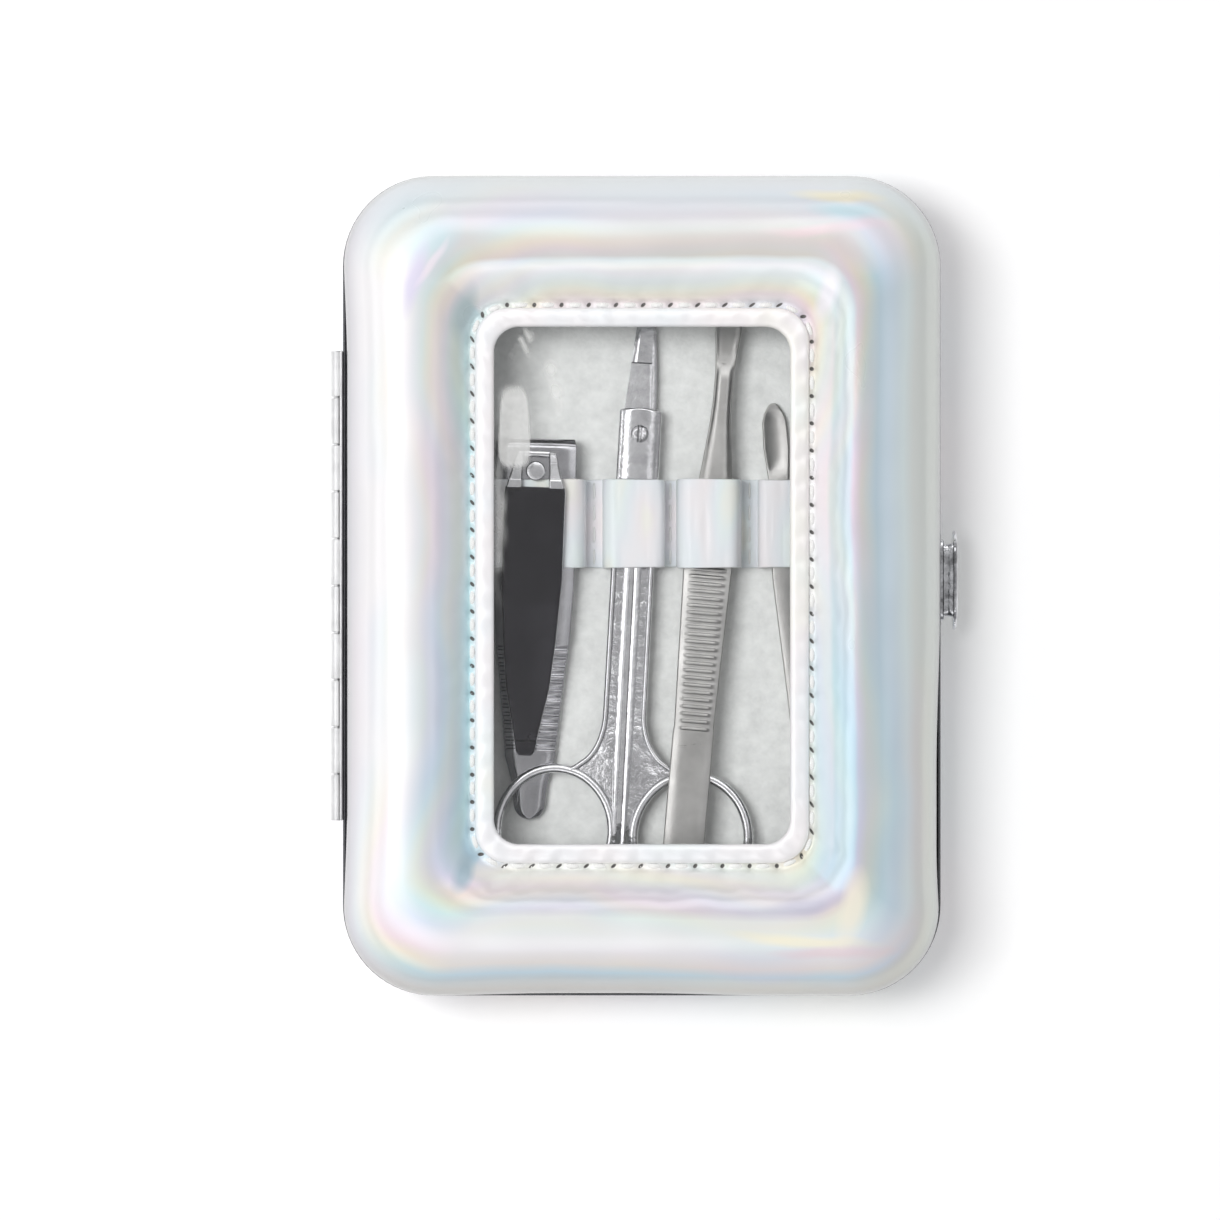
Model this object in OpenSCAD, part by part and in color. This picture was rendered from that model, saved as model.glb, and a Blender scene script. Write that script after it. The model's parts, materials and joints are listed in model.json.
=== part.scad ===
// Manicure set case: a hinged, framed and padded case with a stitched clear window,
// and the clipper, scissors, tweezers and cuticle pusher that lie in its strap.
// Origin: centre of the flat face that the case rests on. X runs from the hinge to
// the push button, Y runs along the hinge, and Z points up through the lid.

/* [Case] */
// Width over the frame, from hinge side to button side
case_w = 82.4; // [80:0.2:88]
// Length over the frame, along the hinge
case_l = 113; // [110:0.5:120]
// Height of the shut case over its padding
case_h = 24; // [23.5:0.5:28]
// Corner radius of the frame
corner_r = 12.5; // [11:0.5:14]
// Gap between the two frames when the case is shut
part_gap = 0.3; // [0.2:0.05:0.5]
// Width over which the padded edge rounds off
dome_run = 10; // [8.5:0.5:11]

/* [Skin and shells] */
// Thickness of the foil skin
skin_t = 0.8; // [0.6:0.05:0.9]
// How far the skin lies inside the frame's outline
skin_inset = 0.3; // [0.2:0.05:0.4]
// Thickness of the foam beside the tray
side_foam_t = 0.65; // [0.5:0.05:0.8]
// Thickness of the foam under the tray
floor_foam_t = 1.2; // [0.8:0.1:1.3]
// Wall of the moulded trays
shell_t = 0.95; // [0.8:0.05:1.1]
// Width over which the moulded trays round off
shell_run = 5; // [4.5:0.1:5.5]
// Thickness of the lining
lining_t = 0.5; // [0.3:0.05:0.6]
// Gap between layers that lie on each other
layer_gap = 0.1; // [0.05:0.01:0.12]

/* [Frame] */
// Height of each frame channel
frame_h = 1.65; // [1.4:0.05:1.8]
// Thickness of the frame metal
frame_t = 0.4; // [0.3:0.05:0.5]
// Gap beside the skin where the channel clamps it
clamp_gap = 0.12; // [0.08:0.01:0.15]
// Distance from the frame to the widest line of the padding
edge_drop = 1.6; // [1.2:0.1:1.8]

/* [Window] */
// Width of the window opening
window_w = 40.5; // [38:0.5:42]
// Length of the window opening
window_l = 70.8; // [68:0.2:74]
// Corner radius of the window opening
window_r = 3.4; // [2.5:0.1:5]
// Drop from the crest of the padding to the seam
valley_drop = 3.7; // [3.2:0.1:4]
// Width of the rolled edge round the window
binding_w = 2.6; // [2.2:0.1:3]
// Height of the rolled edge
binding_h = 1.15; // [0.8:0.05:1.4]
// Flat strip beside the rolled edge that the seam lies in
seam_strip_w = 0.8; // [0.7:0.05:1]
// Thickness of the skin where it runs in under the rolled edge
flange_t = 0.5; // [0.4:0.05:0.6]
// Thickness of the clear sheet
pane_t = 0.4; // [0.3:0.05:0.5]
// How far the clear sheet runs out under the padding
pane_lap = 4.75; // [4:0.05:5]
// Width of the stiff ring under the clear sheet
backing_w = 5.95; // [5.5:0.05:6.5]
// Thickness of the stiff ring
backing_t = 0.8; // [0.6:0.05:0.9]
// Distance from one seam hole to the next
stitch_pitch = 3.85; // [3.2:0.05:4.5]
// Radius of the seam thread
thread_r = 0.25; // [0.15:0.01:0.28]

/* [Hinge] */
// Number of knuckles on both leaves together
knuckle_n = 10; // [6:2:12]
// Distance from one knuckle to the next
knuckle_pitch = 6.5; // [5:0.1:7]
// Outer radius of a knuckle
knuckle_r = 0.8; // [0.75:0.01:0.9]
// Gap between two knuckles
knuckle_gap = 0.2; // [0.15:0.01:0.4]
// Radius of the hinge pin
hinge_pin_r = 0.43; // [0.35:0.01:0.45]
// Gap between the knuckles and the frame
hinge_gap = 0.12; // [0.1:0.01:0.2]
// Thickness of the hinge leaves
leaf_t = 0.4; // [0.3:0.01:0.45]
// Height of the plain strip of each leaf
leaf_h = 1.6; // [1:0.1:2]

/* [Push button and latch] */
// Length of the button's cap, along the frame
cap_l = 13.8; // [12.5:0.1:15]
// Height of the button's cap
cap_h = 6.6; // [5.5:0.1:7]
// Thickness of the button's cap
cap_t = 0.62; // [0.5:0.01:0.9]
// Width of the button's shank, along the frame
shank_w = 10; // [8:0.1:10.5]
// Height of the button's shank
shank_h = 3.2; // [2.8:0.05:3.3]
// Shank that shows between the escutcheon and the cap
shank_out = 1.7; // [1.5:0.05:2.2]
// Place of the button along the frame
button_y = 0.8; // [-3:0.1:3]
// Gap round the shank in its sleeve
guide_gap = 0.1; // [0.05:0.01:0.12]
// Wall of the sleeve
sleeve_t = 0.45; // [0.35:0.01:0.5]
// Thickness of the escutcheon
plate_t = 0.4; // [0.3:0.05:0.5]
// How far the escutcheon shows beside the sleeve
plate_margin = 0.75; // [0.5:0.05:1]
// Thickness of the latch spring
spring_t = 0.3; // [0.2:0.01:0.35]
// Width of the latch spring
spring_w = 6; // [5:0.1:7]
// How far the hook reaches over the catch's nose
hook_lap = 0.5; // [0.3:0.05:0.6]
// Thickness of the catch plate
catch_t = 0.6; // [0.5:0.05:0.7]
// Width of the catch plate
catch_w = 7; // [6:0.1:9]
// How far the catch's nose stands out
nose_l = 0.75; // [0.7:0.05:0.9]
// Thickness of the catch's nose
nose_h = 0.4; // [0.3:0.05:0.45]
// Radius of the latch rivets
latch_rivet_r = 0.45; // [0.35:0.01:0.5]

/* [Board and strap] */
// Height of the board's top above the rest face
board_top = 7; // [6.6:0.1:7.4]
// Gap between a tool and what it lies on
tool_gap = 0.3; // [0.2:0.05:0.35]
// Width of the strap, along the tools
strap_w = 12.2; // [10:0.1:13]
// Place of the strap along the case
strap_y = 8.6; // [8:0.1:9]
// Thickness of the strap
strap_t = 0.5; // [0.4:0.05:0.55]
// Gap between the strap and the board
strap_gap = 0.05; // [0.02:0.01:0.1]
// Place of the strap's hinge-side end
strap_left = -24.2; // [-26:0.1:-23.6]
// Place of the strap's button-side end
strap_right = 25.6; // [24.8:0.1:28]
// Length of one strap stitch
strap_stitch_l = 1.8; // [1:0.1:2.2]
// Radius of the strap thread
strap_thread_r = 0.16; // [0.1:0.01:0.2]

/* [Nail clipper] */
// Half of the clipper's width at its jaws
clipper_half = 5.6; // [5.2:0.1:5.8]
// Length from the pin to the tail
clipper_tail = 48.2; // [46:0.1:49]
// Length from the pin to the jaws
clipper_nose = 4.5; // [4:0.1:5]
// Thickness of an arm
arm_t = 0.8; // [0.6:0.05:0.9]
// Half of the lever's width
lever_half = 4.2; // [3.6:0.1:4.6]
// Thickness of the lever
lever_t = 0.9; // [0.7:0.05:1]
// Radius of the clipper's pin
clipper_pin_r = 1; // [0.8:0.05:1.1]
// Distance between two grip ridges
ridge_pitch = 1.14; // [1:0.02:1.4]

/* [Scissors] */
// Length from the pivot to the tips
blade_l = 27.3; // [25:0.1:28]
// Length from the pivot to the middle of the finger rings
ring_reach = 55.5; // [54:0.1:56.5]
// Half of the width of both shanks together
shank_half = 2.95; // [2.8:0.05:3.1]
// Thickness of a shank
shank_t = 3.35; // [3:0.05:3.4]
// Inner half width of a finger ring
ring_a = 7.35; // [7.2:0.05:7.5]
// Inner half length of a finger ring
ring_b = 8.1; // [7.9:0.05:8.6]
// Width of the ring wire
ring_wire = 1.15; // [1:0.05:1.3]
// Thickness of the ring wire
ring_t = 1.2; // [1:0.05:1.3]
// Radius of the boss round the pivot
boss_r = 2.95; // [2.7:0.05:3.1]
// Radius of the scissor screw's head
screw_head_r = 1.15; // [1:0.05:1.4]
// How far the scissors lie open, in degrees
scissor_open = 0.3; // [0.2:0.1:0.6]

/* [Tweezers] */
// Length of the tweezers
tweezer_l = 84; // [82:0.2:85]
// Half of the width at the closed end
tweezer_half = 2.85; // [2.6:0.05:3]
// Half of the width at the wide end of the ribs
grip_half = 3.4; // [3.1:0.05:3.45]
// Thickness of a leaf
tweezer_t = 0.7; // [0.55:0.05:0.75]
// Distance between two ribs
rib_pitch = 1; // [0.9:0.05:1.3]
// Height of a rib
rib_h = 0.18; // [0.1:0.01:0.2]

/* [Cuticle pusher] */
// Length of the pusher
pusher_l = 70; // [64:0.5:72]
// Half of the width of the spoon
spoon_half = 1.8; // [1.5:0.05:2]
// Half of the widest part of the handle
handle_half = 2; // [1.7:0.05:2.1]
// Thickness of the pusher
pusher_t = 1.2; // [0.9:0.05:1.3]

/* [Hidden] */
$fn = 48;

// Steps of each rounded corner and of each rounded edge
arc_steps = 7;
dome_steps = 7;
shell_steps = 5;
// Exponent that makes the padded edge a little fuller than an ellipse
dome_pow = 2 / 2.2;
// Exponent that makes the padding fall steepest beside the seam
slope_pow = 2.6;
// Radial running gap of every pin in its hole
run_gap = 0.03;

// Heights of the two halves
part_z = case_h / 2;
base_rim_z = part_z - part_gap / 2;
base_frame_z = base_rim_z - frame_h;
base_edge_z = base_frame_z - edge_drop;
lid_rim_z = part_z + part_gap / 2;
lid_frame_z = lid_rim_z + frame_h;
lid_edge_z = lid_frame_z + edge_drop;
base_clamp_z = base_rim_z - frame_t - clamp_gap;
lid_clamp_z = lid_rim_z + frame_t + clamp_gap;

// Insets from the frame's outline
tuck_in = frame_t + clamp_gap;
skin_inner = skin_inset + skin_t;
shell_in = skin_inner + side_foam_t + 2 * layer_gap;
shell_inner = shell_in + shell_t;
frame_w = shell_inner + layer_gap + frame_t;
lining_in = shell_inner + layer_gap;
lining_inner = lining_in + lining_t;
lining_run = shell_run - 0.4;
window_in = (case_w - window_w) / 2;
binding_in = window_in - binding_w;
seam_in = binding_in - seam_strip_w / 2;
slope_in = binding_in - seam_strip_w;
crest_in = skin_inset + dome_run;
flange_in = window_in - 0.35;
hole_in = window_in - 0.75;
pane_in = window_in - pane_lap;
backing_in = window_in - backing_w;
foam_in = backing_in - layer_gap;

// Heights of the layers
tray_z = skin_t + floor_foam_t + 2 * layer_gap;
floor_z = tray_z + shell_t + layer_gap;
lining_z = floor_z + lining_t;
valley_z = case_h - valley_drop;
pane_top_z = valley_z - flange_t - layer_gap;
backing_top_z = pane_top_z - pane_t - layer_gap;
lid_tray_z = backing_top_z - backing_t - layer_gap;
lid_lining_z = lid_tray_z - shell_t - layer_gap;

// Hinge
hinge_x = -(case_w / 2 + hinge_gap + knuckle_r);
hinge_l = knuckle_n * knuckle_pitch - knuckle_gap;
leaf_seat = 0.02;
leaf_clear = 0.15;

// Button and latch
sleeve_w = shank_w + 2 * (guide_gap + sleeve_t);
sleeve_h = shank_h + 2 * (guide_gap + sleeve_t);
button_z = base_frame_z - layer_gap - sleeve_h / 2;
plate_x = case_w / 2 - skin_inset + layer_gap;
cap_x = plate_x + plate_t + shank_out;
catch_outer_x = case_w / 2 - lining_inner - layer_gap / 2;
catch_x = catch_outer_x - catch_t;
catch_lap = 0.4;
nose_x = catch_x - nose_l;
nose_drop = 0.65;
nose_top_z = base_rim_z - nose_drop;
hook_gap = 0.12;
spring_x = nose_x - 0.4;
shank_x = spring_x + 0.2;
sleeve_x = catch_x - 0.15;
bracket_l = 4;
bracket_x = spring_x - bracket_l + 0.4;
bracket_z = button_z - sleeve_h / 2;
foot_z = bracket_z + sleeve_t + leaf_seat;
foot_l = 3.2;
rivet_x = spring_x - 2.2;
rivet_y = 1.8;
rivet_head_t = 0.25;

// Clipper, measured from its pin; heights are above the board
clipper_x = -14.6;
clipper_y = 15.8;
clipper_turn = -1.2;
arm_low_z = 0.2;
arm_pin_z = 0.5;
arm_gap = 0.05;
arm_lift = 3.9;
jaw_gap = 1.2;
flat_l = 9;
lever_z = 6.5;
lever_turn = -1;
clipper_rivet_y = -clipper_tail + 2.3;

// Scissors, measured from their pivot
pivot_x = -0.27;
pivot_y = 21;
scissor_turn = -3.2;
ring_x = ring_a + ring_wire + 0.25;
half_gap = 0.15;
ring_out = 1.1;
blade_t = (shank_t - 0.2) / 2;
shank_start = boss_r + 0.7;
screw_r = 0.8;

// Tweezers, measured from their closed end
tweezer_x = 5.07;
tweezer_y = -44;
tweezer_turn = -5;
tweezer_pitch = 2.4;
ring_top = tool_gap + shank_t + 0.1;
tweezer_rest = 18;
weld_l = 8;
bow_y = 30;
rib_from = 23.6;
rib_to = 46.6;
neck_y = tweezer_l - 24;
tip_t = 0.7 * tweezer_t;

// Pusher, measured from the tip of its spoon
pusher_x = 18.2;
pusher_y = 25.3;
pusher_turn = 4.5;

// Strap: [middle of the loop, inner half width, inner height] for each tool
strap_loops = [
    [clipper_x - 0.3, clipper_half + 1.1, arm_lift + arm_t + 0.9],
    [-1.1, shank_half + 0.9, shank_t + 1.3],
    [9.3, grip_half + 0.65, ring_top + 2.6],
    [19.5, handle_half + 0.9, pusher_t + 1.1]
];
loop_pow = 6;
stitch_lines = [
    (strap_left + strap_loops[0][0] - strap_loops[0][1] - strap_t) / 2,
    (strap_loops[0][0] + strap_loops[0][1] + strap_loops[1][0] - strap_loops[1][1]) / 2,
    (strap_loops[1][0] + strap_loops[1][1] + strap_loops[2][0] - strap_loops[2][1]) / 2,
    (strap_loops[2][0] + strap_loops[2][1] + strap_loops[3][0] - strap_loops[3][1]) / 2,
    (strap_right + strap_loops[3][0] + strap_loops[3][1] + strap_t) / 2
];

function lerp(a, b, u) = a + (b - a) * u;

// Outline of the case at inset d; its corners ease towards the window's corners
function outline(d) =
    let (
        u = d / window_in,
        hx = case_w / 2 - d,
        hy = lerp(case_l, window_l, u) / 2,
        r = lerp(corner_r, window_r, u)
    )
    [for (q = [0:3], i = [0:arc_steps])
        let (
            a = 90 * (q + i / arc_steps),
            sx = (q == 0 || q == 3) ? 1 : -1,
            sy = q < 2 ? 1 : -1
        )
        [sx * (hx - r) + r * cos(a), sy * (hy - r) + r * sin(a)]];

// Rounded edge as [inset, height], from the widest line (t = 0) to the flat (t = 90)
function dome(d, run, z_edge, z_end, t) = [
    d + run * (1 - pow(cos(t), dome_pow)),
    z_edge + (z_end - z_edge) * pow(sin(t), dome_pow)
];
function dome_in(d, run, z_edge, z_end, n) =
    [for (k = [0:n]) dome(d, run, z_edge, z_end, 90 * k / n)];
function dome_out(d, run, z_edge, z_end, n) =
    [for (k = [n:-1:0]) dome(d, run, z_edge, z_end, 90 * k / n)];

// Fall of the lid's padding from its crest to the seam, for s from 0 to 1
function slope(d_top, d_low, z_top, z_low, s) =
    [lerp(d_top, d_low, s), z_low + (z_top - z_low) * (1 - pow(s, slope_pow))];

// Symmetric plan from a list of [place along Y, half width]
function plan(list) = concat(
    [for (p = list) [p[1], p[0]]],
    [for (i = [len(list) - 1:-1:0]) [-list[i][1], list[i][0]]]
);

// Upper half of a loop with straight sides and rounded shoulders
function arch(a, b) = [for (k = [0:24])
    let (t = 180 * k / 24, c = cos(t))
    [a * sign(c) * pow(abs(c), 2 / loop_pow), b * pow(sin(t), 2 / loop_pow)]];

// Oval with half axes a and b
function oval(a, b) = [for (k = [0:47]) [a * cos(7.5 * k), b * sin(7.5 * k)]];

// Solid through outlines that follow a profile of [inset, height]
module loft(profile, closed) {
    n = 4 * (arc_steps + 1);
    m = len(profile);
    points = [for (p = profile) for (q = outline(p[0])) [q[0], q[1], p[1]]];
    sides = [for (j = [0:closed ? m - 1 : m - 2], i = [0:n - 1])
        let (a = j * n + i, b = j * n + (i + 1) % n, up = ((j + 1) % m - j) * n)
        each [[a, a + up, b + up], [a, b + up, b]]];
    ends = closed ? [] : [
        [for (i = [0:n - 1]) i],
        [for (i = [n - 1:-1:0]) (m - 1) * n + i]
    ];
    polyhedron(points, concat(sides, ends), convexity = 10);
}

// Plate at inset d between two heights
module plate(d, z0, z1) {
    translate([0, 0, z0]) linear_extrude(z1 - z0) polygon(outline(d));
}

// Plate with an opening
module ring_plate(d_out, d_in, z0, z1) {
    translate([0, 0, z0]) linear_extrude(z1 - z0) difference() {
        polygon(outline(d_out));
        polygon(outline(d_in));
    }
}

// Solid from a side view (Y, Z), as wide as twice half
module side_solid(points, half) {
    rotate([90, 0, 90]) linear_extrude(2 * half, center = true) polygon(points);
}

// Box from one corner to the other
module box(low, high) {
    translate(low) cube(high - low);
}

// Space that the sleeve needs through the layers of the base
module sleeve_cut() {
    half_w = sleeve_w / 2 + layer_gap / 2;
    box(
        [sleeve_x - 3, button_y - half_w, bracket_z - layer_gap / 2],
        [case_w / 2 + 1, button_y + half_w, bracket_z + sleeve_h + layer_gap / 2]
    );
}

module base_cover() {
    color("lavender") difference() {
        loft(concat(
            dome_out(skin_inset, dome_run, base_edge_z, 0, dome_steps),
            [
                [tuck_in, base_frame_z - clamp_gap],
                [tuck_in, base_clamp_z],
                [tuck_in + skin_t, base_clamp_z],
                [tuck_in + skin_t, base_frame_z - clamp_gap]
            ],
            dome_in(skin_inner, dome_run, base_edge_z, skin_t, dome_steps)
        ), false);
        sleeve_cut();
    }
}

module base_padding() {
    color("ivory") difference() {
        loft(concat(
            dome_out(skin_inner + layer_gap, dome_run, base_edge_z, skin_t + layer_gap, dome_steps),
            dome_in(shell_in - layer_gap, shell_run, base_edge_z, tray_z - layer_gap, shell_steps)
        ), false);
        sleeve_cut();
    }
}

module base_shell() {
    color("dimgray") difference() {
        loft(concat(
            dome_out(shell_in, shell_run, base_edge_z, tray_z, shell_steps),
            [[shell_in, base_clamp_z], [shell_inner, base_clamp_z]],
            dome_in(shell_inner, shell_run, base_edge_z, tray_z + shell_t, shell_steps)
        ), false);
        sleeve_cut();
    }
}

module base_lining() {
    color("gainsboro") difference() {
        loft(concat(
            dome_out(lining_in, shell_run, base_edge_z, floor_z, shell_steps),
            [[lining_in, base_frame_z - layer_gap], [lining_inner, base_frame_z - layer_gap]],
            dome_in(lining_inner, lining_run, base_edge_z, lining_z, shell_steps)
        ), false);
        sleeve_cut();
    }
}

module base_frame() {
    color("silver") difference() {
        ring_plate(0, frame_w, base_frame_z, base_rim_z);
        ring_plate(frame_t, frame_w - frame_t, base_frame_z - 1, base_rim_z - frame_t);
    }
}

module tool_board() {
    board_in = lining_inner + layer_gap;
    board_z = lining_z + layer_gap;
    drop = (base_edge_z - board_top) / (base_edge_z - board_z);
    t_top = asin(pow(drop, 1 / dome_pow));
    half_w = sleeve_w / 2 + tool_gap;
    color("whitesmoke") difference() {
        loft([for (k = [0:shell_steps])
            dome(board_in, lining_run, base_edge_z, board_z, lerp(90, t_top, k / shell_steps))
        ], false);
        box(
            [bracket_x - tool_gap, button_y - half_w, 0],
            [case_w / 2, button_y + half_w, board_top + 1]
        );
    }
}

// Inner line of a loop of the strap, from its right foot to its left foot
function loop_inner(loop) = [for (p = arch(loop[1], loop[2])) [loop[0] + p[0], p[1]]];

// Outer line of a loop, from its left foot to its right foot on top of the flat strap
function loop_outer(loop) =
    let (line = arch(loop[1] + strap_t, loop[2] + strap_t))
    [for (k = [len(line) - 1:-1:0]) [loop[0] + line[k][0], max(line[k][1], strap_t)]];

module tool_strap() {
    color("lavender")
    translate([0, strap_y + strap_w / 2, board_top + strap_gap])
    rotate([90, 0, 0]) linear_extrude(strap_w) polygon(concat(
        [[strap_left, 0], [strap_left, strap_t]],
        [for (loop = strap_loops) each loop_outer(loop)],
        [[strap_right, strap_t], [strap_right, 0]],
        [for (i = [len(strap_loops) - 1:-1:0]) each loop_inner(strap_loops[i])]
    ));
}

module strap_stitches() {
    rows = 4;
    step = strap_w / rows;
    z = board_top + strap_gap + strap_t + strap_thread_r + 0.02;
    color("white") for (x = stitch_lines, k = [0:rows - 1]) {
        y = strap_y + (k - (rows - 1) / 2) * step;
        translate([x, y, z]) rotate([90, 0, 0])
            cylinder(h = strap_stitch_l, r = strap_thread_r, center = true);
    }
}

// Every second knuckle with its tab, on a strip; up is 1 on the lid and -1 on the base
module hinge_leaf(first, up) {
    leaf_x = -(case_w / 2 + leaf_seat + leaf_t);
    strip_z = knuckle_r + leaf_clear;
    knuckle_l = knuckle_pitch - knuckle_gap;
    color("gainsboro") difference() {
        union() {
            for (k = [first:2:knuckle_n - 1]) {
                y = (k - (knuckle_n - 1) / 2) * knuckle_pitch;
                translate([hinge_x, y, part_z])
                    rotate([90, 0, 0]) cylinder(h = knuckle_l, r = knuckle_r, center = true);
                translate([leaf_x + leaf_t / 2, y, part_z + up * (strip_z + 0.1) / 2])
                    cube([leaf_t, knuckle_l, strip_z + 0.1], center = true);
            }
            translate([leaf_x + leaf_t / 2, 0, part_z + up * (strip_z + leaf_h / 2)])
                cube([leaf_t, hinge_l, leaf_h], center = true);
        }
        translate([hinge_x, 0, part_z])
            rotate([90, 0, 0]) cylinder(h = hinge_l + 2, r = hinge_pin_r + run_gap, center = true);
    }
}

module hinge_base_leaf() {
    hinge_leaf(0, -1);
}

module hinge_lid_leaf() {
    hinge_leaf(1, 1);
}

module hinge_pin() {
    color("silver") translate([hinge_x, 0, part_z])
        rotate([90, 0, 0]) cylinder(h = hinge_l, r = hinge_pin_r, center = true);
}

module latch_housing() {
    half_w = sleeve_w / 2;
    bore_w = shank_w / 2 + guide_gap;
    color("silver") difference() {
        union() {
            box(
                [sleeve_x, button_y - half_w, bracket_z],
                [plate_x + plate_t, button_y + half_w, bracket_z + sleeve_h]
            );
            box(
                [plate_x, button_y - half_w - plate_margin, bracket_z - plate_margin],
                [plate_x + plate_t, button_y + half_w + plate_margin, bracket_z + sleeve_h]
            );
            box(
                [bracket_x, button_y - spring_w / 2, bracket_z],
                [sleeve_x + 1, button_y + spring_w / 2, bracket_z + sleeve_t]
            );
        }
        box(
            [sleeve_x - 0.5, button_y - bore_w, button_z - shank_h / 2 - guide_gap],
            [plate_x + plate_t + 1, button_y + bore_w, button_z + shank_h / 2 + guide_gap]
        );
        for (side = [-1, 1]) translate([rivet_x, button_y + side * rivet_y, bracket_z - 1])
            cylinder(h = 2, r = latch_rivet_r + run_gap);
    }
}

module latch_spring() {
    y0 = button_y - spring_w / 2;
    y1 = button_y + spring_w / 2;
    hook_z = nose_top_z + hook_gap;
    color("silver") difference() {
        union() {
            box([spring_x - foot_l, y0, foot_z], [spring_x, y1, foot_z + spring_t]);
            box([spring_x - spring_t, y0, foot_z], [spring_x, y1, hook_z + spring_t]);
            box([spring_x - spring_t, y0, hook_z], [nose_x + hook_lap, y1, hook_z + spring_t]);
        }
        for (side = [-1, 1]) translate([rivet_x, button_y + side * rivet_y, foot_z - 1])
            cylinder(h = 2, r = latch_rivet_r + run_gap);
    }
}

module latch_rivets() {
    low_z = bracket_z - run_gap;
    high_z = foot_z + spring_t + run_gap;
    color("darkgray") for (side = [-1, 1]) translate([rivet_x, button_y + side * rivet_y, 0]) {
        translate([0, 0, low_z - rivet_head_t])
            cylinder(h = high_z - low_z + 2 * rivet_head_t, r = latch_rivet_r);
        translate([0, 0, low_z - rivet_head_t]) cylinder(h = rivet_head_t, r = latch_rivet_r + 0.3);
        translate([0, 0, high_z]) cylinder(h = rivet_head_t, r = latch_rivet_r + 0.3);
    }
}

module lid_cover() {
    inner_low_in = slope_in - flange_t;
    crest_z = case_h - skin_t;
    color("lavender") loft(concat(
        [[tuck_in, lid_clamp_z], [tuck_in, lid_frame_z + clamp_gap]],
        dome_in(skin_inset, dome_run, lid_edge_z, case_h, dome_steps),
        [for (k = [1:5]) slope(crest_in, slope_in, case_h, valley_z, k / 5)],
        [[flange_in, valley_z], [flange_in, valley_z - flange_t]],
        [for (k = [5:-1:1]) slope(crest_in, inner_low_in, crest_z, valley_z - flange_t, k / 5)],
        dome_out(skin_inner, crest_in - skin_inner, lid_edge_z, crest_z, dome_steps),
        [[tuck_in + skin_t, lid_frame_z + clamp_gap], [tuck_in + skin_t, lid_clamp_z]]
    ), true);
}

module lid_padding() {
    top_in = skin_inner + layer_gap;
    low_in = slope_in - flange_t - layer_gap;
    top_z = case_h - skin_t - layer_gap;
    low_z = valley_z - flange_t - layer_gap;
    s_end = (foam_in - crest_in) / (low_in - crest_in);
    color("ivory") loft(concat(
        dome_in(top_in, crest_in - top_in, lid_edge_z, top_z, dome_steps),
        [for (k = [1:4]) slope(crest_in, low_in, top_z, low_z, s_end * k / 4)],
        [[foam_in, lid_tray_z + layer_gap]],
        dome_out(shell_in - layer_gap, shell_run, lid_edge_z, lid_tray_z + layer_gap, shell_steps)
    ), true);
}

module lid_shell() {
    color("dimgray") loft(concat(
        [[shell_in, lid_clamp_z]],
        dome_in(shell_in, shell_run, lid_edge_z, lid_tray_z, shell_steps),
        [[hole_in, lid_tray_z], [hole_in, lid_tray_z - shell_t]],
        dome_out(shell_inner, shell_run, lid_edge_z, lid_tray_z - shell_t, shell_steps),
        [[shell_inner, lid_clamp_z]]
    ), true);
}

module lid_lining() {
    color("gainsboro") loft(concat(
        [[lining_in, lid_frame_z + layer_gap]],
        dome_in(lining_in, shell_run, lid_edge_z, lid_lining_z, shell_steps),
        [[hole_in, lid_lining_z], [hole_in, lid_lining_z - lining_t]],
        dome_out(lining_inner, lining_run, lid_edge_z, lid_lining_z - lining_t, shell_steps),
        [[lining_inner, lid_frame_z + layer_gap]]
    ), true);
}

module lid_frame() {
    color("silver") difference() {
        ring_plate(0, frame_w, lid_rim_z, lid_frame_z);
        ring_plate(frame_t, frame_w - frame_t, lid_rim_z + frame_t, lid_frame_z + 1);
    }
}

module lid_catch() {
    y0 = button_y - catch_w / 2;
    y1 = button_y + catch_w / 2;
    color("silver") {
        box([catch_x, y0, nose_top_z - nose_h], [catch_outer_x, y1, lid_edge_z - catch_lap]);
        box([nose_x, y0, nose_top_z - nose_h], [catch_outer_x, y1, nose_top_z]);
    }
}

module window_pane() {
    color("azure", 0.35) plate(pane_in, pane_top_z - pane_t, pane_top_z);
}

module window_backing() {
    color("gray") ring_plate(backing_in, hole_in, backing_top_z - backing_t, backing_top_z);
}

module window_binding() {
    mid = (binding_in + window_in) / 2;
    z0 = valley_z + layer_gap / 2;
    color("lavender") loft([for (k = [0:8]) [
        mid - binding_w / 2 * cos(22.5 * k),
        z0 + binding_h * pow(sin(22.5 * k), 0.8)
    ]], true);
}

// Row of stitches along Y, centred
module stitch_row(length) {
    count = round(length / stitch_pitch);
    step = length / count;
    for (k = [0:count - 1]) translate([0, (k - (count - 1) / 2) * step, 0])
        rotate([90, 0, 0]) cylinder(h = 0.62 * step, r = thread_r, center = true);
}

module window_stitches() {
    u = seam_in / window_in;
    hx = case_w / 2 - seam_in;
    hy = lerp(case_l, window_l, u) / 2;
    r = lerp(corner_r, window_r, u);
    color("white") translate([0, 0, valley_z + thread_r + 0.02]) for (side = [-1, 1]) {
        translate([side * hx, 0, 0]) stitch_row(2 * (hy - r));
        translate([0, side * hy, 0]) rotate([0, 0, 90]) stitch_row(2 * (hx - r));
        for (end = [-1, 1], a = [22.5, 67.5])
            translate([side * (hx - r + r * cos(a)), end * (hy - r + r * sin(a)), 0])
            rotate([90, 0, side * end * a])
            cylinder(h = 0.45 * r, r = thread_r, center = true);
    }
}

module button_shank() {
    color("silver") box(
        [shank_x, button_y - shank_w / 2, button_z - shank_h / 2],
        [cap_x, button_y + shank_w / 2, button_z + shank_h / 2]
    );
}

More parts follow.
